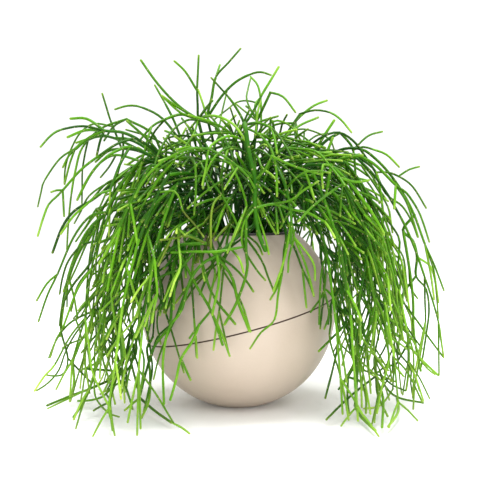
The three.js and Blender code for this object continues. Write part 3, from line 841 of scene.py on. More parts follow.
# A stem that sets off along a heading and sinks as it goes
def trail(start, heading, reach, droop, radius, leaves, bend=(0, 0, 0)):
    steps = stepCount(reach, plant["stride"])
    step = reach / steps
    points = [start]
    way = heading
    for _ in range(steps):
        way = unit((way[0] + bend[0], way[1] + bend[1], way[2] - droop + bend[2]))
        here = points[-1]
        there = keepOff(plus(here, times(way, step)), radius)
        if leaves(there) or size(minus(there, here)) < step * plant["leastStride"]:
            return None
        way = unit(minus(there, here))
        points.append(there)
    return points


# A heading leaned over by an angle, towards the side that spin picks
def leaned(heading, angle, spin):
    side = unit(cross(heading, (0, 0, 1) if abs(heading[2]) < plant["upright"] else (1, 0, 0)))
    upper = cross(side, heading)
    towards = plus(times(side, math.cos(spin)), times(upper, math.sin(spin)))
    return unit(plus(times(heading, math.cos(angle)), times(towards, math.sin(angle))))


def headingAtEnd(points):
    return unit(minus(points[-1], points[-2]))


# A new stem in the first shape of it that has room, or None
def tryStem(spray, make, radius, parent, level, tries, gap):
    for attempt in range(tries):
        points = make(attempt)
        if points and isClear(points, radius * plant["sideFactor"], spray["owner"], gap):
            keepStem(points, radius * plant["sideFactor"], spray["owner"])
            stem = {"points": points, "from": parent, "level": level}
            siblings = sum(other["from"] == parent for other in spray["stems"])
            spray["stems"].append(stem)
            spray["facets"] += plant["segmentFacets"] * (len(points) - 1)
            spray["facets"] += plant["jointFacets"] if siblings else 0
            return stem
    return None


def radiusOf(level):
    return plant["radii"][min(level, len(plant["radii"]) - 1)]


def indexOf(spray, stem):
    return next(i for i, other in enumerate(spray["stems"]) if other is stem)


# Leader of a spray: straight up out of the soil, then on along a curve. A long one has a joint on its way.
def growLeader(spray, curve, tries):
    x, y = spray["root"][:2]
    foot = (x, y, soilTop - soilSizes["holeDepth"] + plant["rootDepth"])
    collar = (x, y, soilTop + plant["collar"])

    def make(attempt):
        points = curve(collar, attempt)
        return points and [foot, *points]

    leader = tryStem(spray, make, radiusOf(0), -1, 0, tries, plant["stemGap"])
    if not leader or len(leader["points"]) < plant["upperLeader"] + 2:
        return leader
    joint = len(leader["points"]) - plant["upperLeader"]
    upper = {**leader, "points": leader["points"][joint:], "from": 0}
    leader["points"] = leader["points"][: joint + 1]
    spray["stems"].append(upper)
    return upper


# How shoots leave a joint. Reaches are shares of those in the plan, angles are in radians.
shootRule = {
    "runReach": 1.1,
    "sideReach": 0.85,
    "shortest": 0.8,
    "onlyLean": (0.08, 0.35),
    "lean": (0.4, 0.9),
    "spinStray": 0.8,
    "levelDroop": 0.04,
    "tries": 20,
    "sideGoesOn": 0.35,
}


# Shoots from a joint and the ones that grow on from them. The first few run on, the rest are side shoots.
def growFrom(spray, firstStem, plan):
    draw = spray["draw"]
    waiting = [(firstStem, plan["forks"], plan["runners"], plan["depth"])]
    while waiting:
        stem, shoots, runners, depth = waiting.pop(0)
        level = stem["level"] + 1
        radius = radiusOf(level)
        start, heading = stem["points"][-1], headingAtEnd(stem["points"])
        firstSpin = draw(0, wholeTurn)
        for child in range(shoots):
            if spray["facets"] >= plan["facets"]:
                break
            runs = child < runners
            reach = draw(*plan["reach"]) * shootRule["runReach" if runs else "sideReach"]
            lean = shootRule["onlyLean" if runs and runners == 1 else "lean"]

            def make(attempt):
                angle = draw(*lean)
                spin = firstSpin + child * 2 * math.pi / shoots
                spin += draw(-shootRule["spinStray"], shootRule["spinStray"])
                droop = draw(*plan["droop"]) + shootRule["levelDroop"] * level
                way = leaned(heading, angle, spin)
                length = reach * draw(shootRule["shortest"], 1)
                return trail(start, way, length, droop, radius * plant["sideFactor"], leavesCrown)

            parent = indexOf(spray, stem)
            shoot = tryStem(spray, make, radius, parent, level, shootRule["tries"], plant["stemGap"])
            if shoot and depth > 1 and shoot["points"][-1][2] > plan["hang"]:
                if runs:
                    onward = 2 if draw(0, 1) < plan["sides"] else 1
                    waiting.append((shoot, onward, 1, depth - 1))
                elif draw(0, 1) < shootRule["sideGoesOn"]:
                    waiting.append((shoot, 1, 0, 1))


# Roots stand apart on a spiral
goldenTurn = math.pi * (3 - math.sqrt(5))
freeRoots = []
for i in range(plant["sprayCount"]):
    spread = plant["rootSpread"] * math.sqrt((i + 0.5) / plant["sprayCount"])
    freeRoots.append(rounded((spread * math.cos(i * goldenTurn), spread * math.sin(i * goldenTurn), 0)))
sprays = []


# A new spray on the free root that is nearest to the wanted one
def startSpray(wanted):
    owner = len(sprays)
    root = min(freeRoots, key=lambda free: math.hypot(free[0] - wanted[0], free[1] - wanted[1]))
    freeRoots.remove(root)
    draw = makeRandom(plant["seed"] + owner * plant["seedStep"])
    spray = {"owner": owner, "root": root, "stems": [], "facets": 0, "draw": draw}
    sprays.append(spray)
    return spray


# How far a reaching stem may bow, and from which attempt on it may miss its place, to find room
reachRule = {"bow": 0.9, "bowUp": 0.6, "steady": 8, "stray": 0.5, "leaderTries": 60, "tries": 40}


def growReaching(root, stems):
    spray = startSpray(root)
    draw = spray["draw"]
    made = []
    for parentRow, *place, lift in stems:
        parent = made[parentRow] if parentRow >= 0 else None
        if parentRow >= 0 and not parent:
            made.append(None)
            continue
        level = parent["level"] + 1 if parent else 0
        radius = radiusOf(level)

        def curve(start, attempt):
            stray = max(0, attempt - reachRule["steady"]) * reachRule["stray"]
            goal = tuple(value + draw(-stray, stray) for value in place)
            amount = attempt * reachRule["bow"]
            bow = [draw(-amount, amount) * share for share in (1, 1, reachRule["bowUp"])]
            return arc(start, goal, lift, bow, radius * plant["sideFactor"])

        def make(attempt):
            return curve(parent["points"][-1], attempt)

        if parent:
            tries = reachRule["tries"]
            made.append(tryStem(spray, make, radius, indexOf(spray, parent), level, tries, plant["stemGap"]))
        else:
            made.append(growLeader(spray, curve, reachRule["leaderTries"]))


# How the leaders of the other sprays lean and give way, and how far from the middle they want to stand
freeRule = {
    "crownRoot": 16,
    "root": 34,
    "stray": 0.2,
    "moreStray": 0.01,
    "shortest": 0.85,
    "shorten": 0.005,
    "tries": 100,
}


def growFree(side, habit, hang):
    plan = habits[habit]
    turn = side * math.pi / 180
    apart = freeRule["crownRoot" if habit == "crown" else "root"]
    spray = startSpray((apart * math.cos(turn), apart * math.sin(turn)))
    draw = spray["draw"]
    lean = draw(*plan["lean"])
    heading = (math.cos(turn) * math.sin(lean), math.sin(turn) * math.sin(lean), math.cos(lean))
    reach = draw(*plan["leader"])

    def curve(start, attempt):
        angle = draw(0, freeRule["stray"] + freeRule["moreStray"] * attempt)
        way = leaned(heading, angle, draw(0, wholeTurn))
        length = reach * (draw(freeRule["shortest"], 1) * (1 - freeRule["shorten"] * attempt))
        return trail(start, way, length, plan["sink"], radiusOf(0) * plant["sideFactor"], leavesCrown)

    leader = growLeader(spray, curve, freeRule["tries"])
    if leader:
        growFrom(spray, leader, {**plan, "hang": hang, "facets": plant["facetLimit"][habit]})


# Side shoots on the reaching sprays. A spray hangs if a stem of it ends lower than "hanging".
sideRule = {
    "hanging": 120,
    "lowest": 30,
    "levels": 4,
    "underCrown": 8,
    "plan": {"depth": 2, "sides": 0.5, "reach": (36, 58), "droop": (0.04, 0.26), "hang": 14},
}


# Side shoots where there is room left, on a hanging spray from its lowest joint up
def growSides(spray):
    stems = spray["stems"]
    hangs = any(stem["points"][-1][2] < sideRule["hanging"] for stem in stems)
    parents = []
    for index, stem in enumerate(stems):
        height = stem["points"][-1][2]
        isTip = all(other["from"] != index for other in stems)
        hasRoom = height > sideRule["lowest"] and not isTip if hangs else stem["level"] < sideRule["levels"]
        if hasRoom and height < plant["crownHeight"] - sideRule["underCrown"]:
            parents.append(stem)
    if hangs:
        parents.sort(key=lambda stem: stem["points"][-1][2])
    for stem in parents:
        inner = stem["level"] == 0
        shoots = {"forks": 2 if inner else 1, "runners": 1 if inner or hangs else 0}
        growFrom(spray, stem, {**sideRule["plan"], **shoots, "facets": plant["facetLimit"]["reaching"]})


# Sprays whose stems reach a stated place: the root, then for each stem the one it grows from (-1 is the
# root), the place of its end, and how far it arches up
reachingSprays = [
    ((-18, -4), [
        (-1, -42, -5, 300, 0), (0, -43, -8, 329, 0), (1, -41, -12, 366, 0), (1, -66, -25, 358, 4),
        (0, -104, 10, 364, -8), (0, -76, -15, 299, 5), (5, -102, -30, 275, 4), (5, -102, -10, 256, 6),
    ]),
    ((-8, 14), [
        (-1, -33, 20, 304, 0), (0, -24, 15, 346, 0), (1, 3, 10, 376, 0), (1, -20, 35, 362, 0),
        (0, 12, 10, 348, 8), (4, 35, 0, 346, 3),
    ]),
    ((4, -12), [
        (-1, 6, -20, 293, 0), (0, -11, -25, 322, 3), (1, -28, -35, 340, 0), (0, 24, -25, 323, -2),
        (3, 42, -20, 353, 0),
    ]),
    ((22, 6), [
        (-1, 39, 5, 263, 0), (0, 66, 15, 304, 4), (1, 96, 20, 322, 3), (0, 65, 0, 306, 2),
        (3, 95, -15, 306, 3), (4, 116, -30, 284, 3),
    ]),
    ((12, 20), [
        (-1, 20, 22, 300, 0), (0, 34, 8, 329, 0), (1, 60, -10, 306, 6), (0, 8, 44, 318, 3),
    ]),
    ((-26, 16), [
        (-1, -60, 30, 275, 4), (0, -80, 35, 320, 3), (1, -92, 40, 341, 0), (0, -106, 40, 316, 8),
        (3, -137, 45, 314, 3),
    ]),
    ((-30, 28), [
        (-1, -129, 45, 271, 25), (0, -142, 50, 303, 0), (1, -151, 50, 333, 0), (0, -160, 52, 256, 5),
    ]),
    ((-38, -8), [
        (-1, -138, -20, 287, 30), (0, -176, -10, 300, 6), (0, -178, -40, 287, 4),
        (2, -196, -60, 268, 3), (0, -181, 0, 281, 4), (0, -167, -30, 267, 3), (5, -178, -40, 248, 3),
        (0, -145, -30, 260, 4),
    ]),
    ((-40, 4), [
        (-1, -132, 10, 281, 30), (0, -160, 10, 279, 4), (1, -174, 10, 270, 2), (2, -207, 10, 236, 6),
        (3, -216, 15, 207, 2), (1, -170, 30, 247, 3), (5, -171, 30, 210, 0), (2, -188, 20, 231, 3),
    ]),
    ((-30, -24), [
        (-1, -103, -50, 278, 18), (0, -137, -70, 259, 3), (1, -170, -80, 226, 3),
        (2, -180, -90, 224, 1), (2, -168, -85, 200, 0), (2, -184, -80, 212, 0), (5, -194, -85, 181, 2),
    ]),
    ((-22, -34), [
        (-1, -106, -70, 268, 18), (0, -127, -90, 257, 2), (1, -153, -100, 216, 5),
        (0, -122, -95, 226, 4), (3, -143, -110, 212, 3), (4, -165, -120, 185, 3),
    ]),
    ((36, 2), [
        (-1, 107, 0, 286, 22), (0, 121, 0, 268, 2), (1, 154, 10, 288, 5), (1, 141, -10, 268, 3),
        (3, 167, -20, 249, 4),
    ]),
    ((40, -12), [
        (-1, 118, -28, 262, 22), (0, 141, -30, 244, 2), (1, 164, -30, 240, 2), (2, 186, -30, 250, 2),
        (2, 191, -40, 207, 6),
    ]),
    ((30, -26), [
        (-1, 112, -52, 262, 20), (0, 156, -60, 231, 6), (1, 153, -70, 207, 1), (1, 176, -70, 207, 4),
        (3, 186, -80, 175, 2), (1, 181, -50, 178, 8),
    ]),
    ((42, -4), [
        (-1, 128, -16, 268, 30), (0, 170, -26, 222, 6), (1, 192, -30, 170, 4), (2, 210, -40, 123, 2),
        (2, 204, -20, 140, 2), (4, 209, -20, 108, 0),
    ]),
    ((38, -20), [
        (-1, 120, -40, 258, 26), (0, 162, -52, 200, 6), (1, 186, -58, 140, 4), (2, 200, -60, 95, 2),
        (3, 206, -60, 58, 0), (3, 197, -80, 44, 2), (2, 190, -46, 92, 0), (6, 184, -44, 46, 0),
    ]),
    ((8, -30), [
        (-1, 14, -56, 234, 2), (0, 8, -60, 262, 0), (1, 6, -60, 288, 0), (0, -8, -82, 218, 5),
        (3, -22, -100, 186, 4), (0, 36, -78, 218, 5), (5, 50, -92, 190, 4), (1, -16, -78, 264, 5),
        (7, -32, -92, 240, 4), (1, 32, -74, 258, 6), (9, 46, -88, 232, 4),
    ]),
    ((-2, -34), [
        (-1, -4, -64, 226, 8), (0, -8, -92, 194, 6), (1, -14, -108, 150, 3), (2, -18, -110, 112, 0),
        (3, -9, -110, 72, 0), (2, 4, -110, 118, 2), (5, 12, -111, 92, 0), (1, 22, -104, 160, 4),
        (7, 34, -103, 130, 0),
    ]),
    ((-14, -30), [
        (-1, -34, -62, 226, 10), (0, -40, -92, 186, 6), (1, -44, -104, 140, 3), (2, -42, -103, 104, 0),
        (3, -40, -100, 66, 0), (2, -60, -94, 104, 2), (1, -22, -106, 150, 4), (6, -28, -108, 116, 0),
    ]),
    ((-26, -22), [
        (-1, -60, -56, 222, 12), (0, -74, -78, 178, 6), (1, -80, -84, 130, 3), (2, -84, -78, 82, 0),
        (2, -66, -92, 96, 2), (4, -52, -96, 50, 0), (1, -56, -94, 150, 4), (0, -88, -62, 196, 6),
    ]),
    ((16, -30), [
        (-1, 34, -62, 220, 10), (0, 46, -88, 184, 6), (1, 42, -102, 150, 3), (2, 30, -106, 122, 0),
        (1, 62, -88, 150, 4), (4, 66, -90, 112, 0), (4, 74, -82, 122, 2),
    ]),
    ((26, -22), [
        (-1, 60, -54, 216, 12), (0, 80, -72, 174, 6), (1, 84, -78, 130, 3), (2, 80, -80, 90, 0),
        (2, 98, -66, 112, 3), (4, 100, -60, 74, 0), (0, 84, -44, 206, 6),
    ]),
    ((-26, -30), [
        (-1, -96, -62, 256, 22), (0, -128, -78, 205, 5), (1, -142, -86, 150, 3), (2, -148, -90, 103, 0),
        (3, -177, -95, 58, 4), (4, -196, -100, 33, 2), (3, -159, -100, 64, 0), (6, -173, -110, 37, 1),
        (6, -158, -120, 28, 0), (1, -179, -66, 143, 18), (9, -200, -68, 116, 4), (9, -197, -74, 96, 4),
        (1, -170, -84, 127, 12), (2, -169, -92, 94, 8), (13, -181, -96, 65, 4),
    ]),
    ((-18, -38), [
        (-1, -84, -84, 250, 20), (0, -112, -100, 190, 4), (1, -124, -106, 130, 2),
        (2, -131, -110, 75, 0), (3, -140, -115, 40, 0), (4, -180, -120, 22, 5), (4, -153, -130, 13, 2),
    ]),
    ((-10, -44), [
        (-1, -66, -98, 240, 18), (0, -92, -120, 180, 4), (1, -106, -132, 120, 2),
        (2, -112, -140, 70, 0), (3, -118, -145, 28, 0), (4, -132, -150, 3, 1), (4, -112, -147, 3, 1),
    ]),
    ((-4, -46), [
        (-1, -58, -92, 232, 18), (0, -78, -112, 170, 4), (1, -88, -122, 110, 2), (2, -92, -128, 60, 0),
        (3, -102, -136, 12, 1), (3, -90, -135, 6, 1), (3, -60, -126, 9, 2), (6, -44, -140, 3, 1),
    ]),
    ((34, -28), [
        (-1, 106, -58, 252, 24), (0, 140, -74, 196, 5), (1, 156, -84, 130, 2), (2, 163, -89, 90, 0),
        (3, 166, -90, 60, 0), (4, 184, -100, 26, 2), (4, 181, -86, 20, 2), (3, 177, -82, 62, 4),
        (7, 194, -82, 44, 3),
    ]),
    ((26, -36), [
        (-1, 90, -80, 250, 20), (0, 122, -100, 185, 4), (1, 138, -112, 120, 2), (2, 146, -118, 70, 0),
        (3, 150, -120, 28, 0), (4, 168, -125, 11, 1), (4, 139, -135, 7, 1), (3, 174, -114, 26, 6),
    ]),
    ((16, -42), [
        (-1, 72, -96, 240, 18), (0, 94, -116, 175, 4), (1, 104, -128, 110, 2), (2, 107, -132, 60, 0),
        (3, 109, -135, 27, 0), (4, 128, -150, 3, 1), (4, 94, -140, 10, 1),
    ]),
    ((8, -46), [
        (-1, 62, -88, 232, 18), (0, 84, -106, 165, 4), (1, 92, -114, 100, 2), (2, 96, -118, 50, 0),
        (3, 98, -121, 16, 0), (3, 117, -130, 16, 1),
    ]),
]

# Sprays that follow the rule alone: the side they lean to in degrees, their habit, and how low they hang
habits = {
    "crown": {
        "lean": (0.15, 0.6), "leader": (58, 88), "sink": 0.05,
        "forks": 3, "runners": 3, "depth": 2, "sides": 0.8, "reach": (36, 58), "droop": (0.04, 0.22),
    },
    "drape": {
        "lean": (0.5, 0.85), "leader": (46, 70), "sink": 0.22,
        "forks": 3, "runners": 2, "depth": 3, "sides": 0.5, "reach": (34, 52), "droop": (0.24, 0.44),
    },
    "curtain": {
        "lean": (0.5, 0.85), "leader": (90, 112), "sink": 0.2,
        "forks": 3, "runners": 3, "depth": 5, "sides": 0.5, "reach": (46, 66), "droop": (0.32, 0.6),
    },
    "net": {
        "lean": (0.3, 0.6), "leader": (58, 80), "sink": 0.1,
        "forks": 4, "runners": 3, "depth": 2, "sides": 0.9, "reach": (34, 50), "droop": (0.12, 0.3),
    },
}
freeSprays = [
    (-92, "net", 200), (-58, "net", 200), (-124, "net", 200), (-40, "drape", 80), (-140, "drape", 80),
    (-15, "drape", 60), (-165, "drape", 60), (4, "curtain", 20), (90, "curtain", 14),
    (65, "curtain", 14), (115, "curtain", 14), (42, "curtain", 14), (138, "curtain", 14),
    (18, "curtain", 14), (162, "curtain", 14), (102, "curtain", 60), (180, "curtain", 20),
    (-70, "crown", 150), (-20, "crown", 150), (30, "crown", 150), (75, "crown", 150),
    (120, "crown", 150), (170, "crown", 150), (235, "crown", 150),
]

for root, stems in reachingSprays:
    growReaching(root, stems)
for side, habit, hang in freeSprays:
    growFree(side, habit, hang)
for spray in sprays[: len(reachingSprays)]:
    growSides(spray)
solidStems = sum(len(spray["stems"]) for spray in sprays)
print("grown", solidStems, "stems as in the solids")


# Finer stems that fill the plant between the solid ones. Reaches in millimetres, angles in radians.
fineGrowth = {
    "seed": 4409,
    "spraySeed": 613,
    "passSeed": 50021,
    "gap": 0.9,
    "tries": 10,
    "shorten": 0.03,
    "spinStray": 1.2,
    "lowest": 12,
    "highest": 312,
    "widest": 208,
    "middleDepth": 30,
    "halfDepth": 176,
    "stray": 26,
    # How far out the dense part of the plant goes, by height
    "girth": [
        (0, 168), (66, 170), (109, 164), (151, 152), (215, 136), (255, 110), (275, 84), (290, 58), (314, 16),
    ],
    "bulge": 7,
    # Share of the shoots that grow, by height
    "thick": [
        (0, 0.17), (40, 0.36), (90, 0.66), (150, 0.85), (200, 0.98), (255, 1), (276, 0.6), (296, 0.14),
        (330, 0.05),
    ],
    # How low the finer stems hang in front of the planter, by x
    "frontLimit": [
        (-112, 0), (-100, 74), (-84, 100), (-54, 116), (-34, 128), (-10, 148), (0, 166), (10, 180), (84, 186),
        (94, 170), (102, 130), (110, 70), (116, 0),
    ],
    # The way finer stems are drawn, by height: outwards and downwards
    "outward": [(0, 1.2), (50, 1.05), (110, 0.85), (190, 0.8), (225, 1), (280, 0.9), (340, 0.4)],
    "downward": [
        (0, 0.6), (50, 0.72), (110, 0.85), (190, 0.66), (225, 0.36), (255, 0.18), (290, 0), (340, -0.4),
    ],
    "outwardFrom": 60,
    "leastFall": 0.001,
    "pull": [(0, 0.3), (150, 0.3), (190, 0.24), (225, 0.4), (260, 0.58), (400, 0.6)],
    "bend": 0.13,
    # No finer stems further to the front than this above that height, so that the front arcs stay clear
    "front": {"height": 196, "depth": -98},
    "runners": [
        {"from": 0, "count": 2, "reach": (62, 98), "lean": (0.4, 1.1), "droop": (0.1, 0.28), "pull": 0.4},
        {"from": 1, "count": 1, "reach": (50, 80), "lean": (0.3, 0.9), "droop": (0.12, 0.3), "pull": 0.4},
    ],
    "runnerStems": 3,
    "runnerRise": 20,
    "onward": {
        "reach": (40, 68), "lean": (0.12, 0.5), "depth": 5,
        "rise": 6, "fork": 0.6, "apart": 2.4, "sideGoesOn": 0.4,
    },
    "side": {"reach": (32, 60), "lean": (0.45, 1.0)},
    "twigs": {"most": 2, "share": 0.75, "below": 0.4, "more": 6},
    # Sinking of these by height: arching over the rim, then hanging and spreading
    "droop": [
        (0, 0), (60, 0.06), (110, 0.12), (160, 0.15), (190, 0.13), (230, 0.17), (270, 0.25), (330, 0.16),
    ],
    "droopShares": (0.5, 1.6),
    "most": 52,
    "rounds": 3,
    # Where the thinnest front stems are tanned
    "sunburnt": {"low": (-90, -130, 96), "high": (0, -60, 196), "olive": 0.7},
    # Zones that are fuller: a box, the shoots at each joint in it and the most stems of a spray
    "zones": [
        {"low": (-95, -100, 200), "high": (90, 0, 270), "shoots": 2, "reach": (42, 76), "lean": (0.6, 1.5),
         "droop": 0.17, "pull": 0.12, "bend": 0.4, "most": 80},
        {"low": (-110, -80, 190), "high": (110, 110, 262), "shoots": 1, "reach": (36, 60), "lean": (0.6, 1.5),
         "droop": 0.15, "pull": 0.12, "bend": 0.4, "most": 90},
        {"low": (-62, -118, 118), "high": (0, -40, 216), "shoots": 1, "reach": (28, 48), "lean": (0.3, 0.85),
         "droop": 0.2, "pull": 0.3, "olive": 0.75, "most": 90},
        {"low": (90, -130, 50), "high": (185, 120, 226), "shoots": 1, "reach": (38, 62), "lean": (0.3, 0.85),
         "droop": 0.1, "most": 80},
    ],
}


# The camera in metres and degrees, and the frame in which the drawn stems are given
cameraPlan = {"place": (0.0017, -0.951, 0.231), "pitch": 3.5, "lens": 67.33, "sensor": 36, "frame": 480}
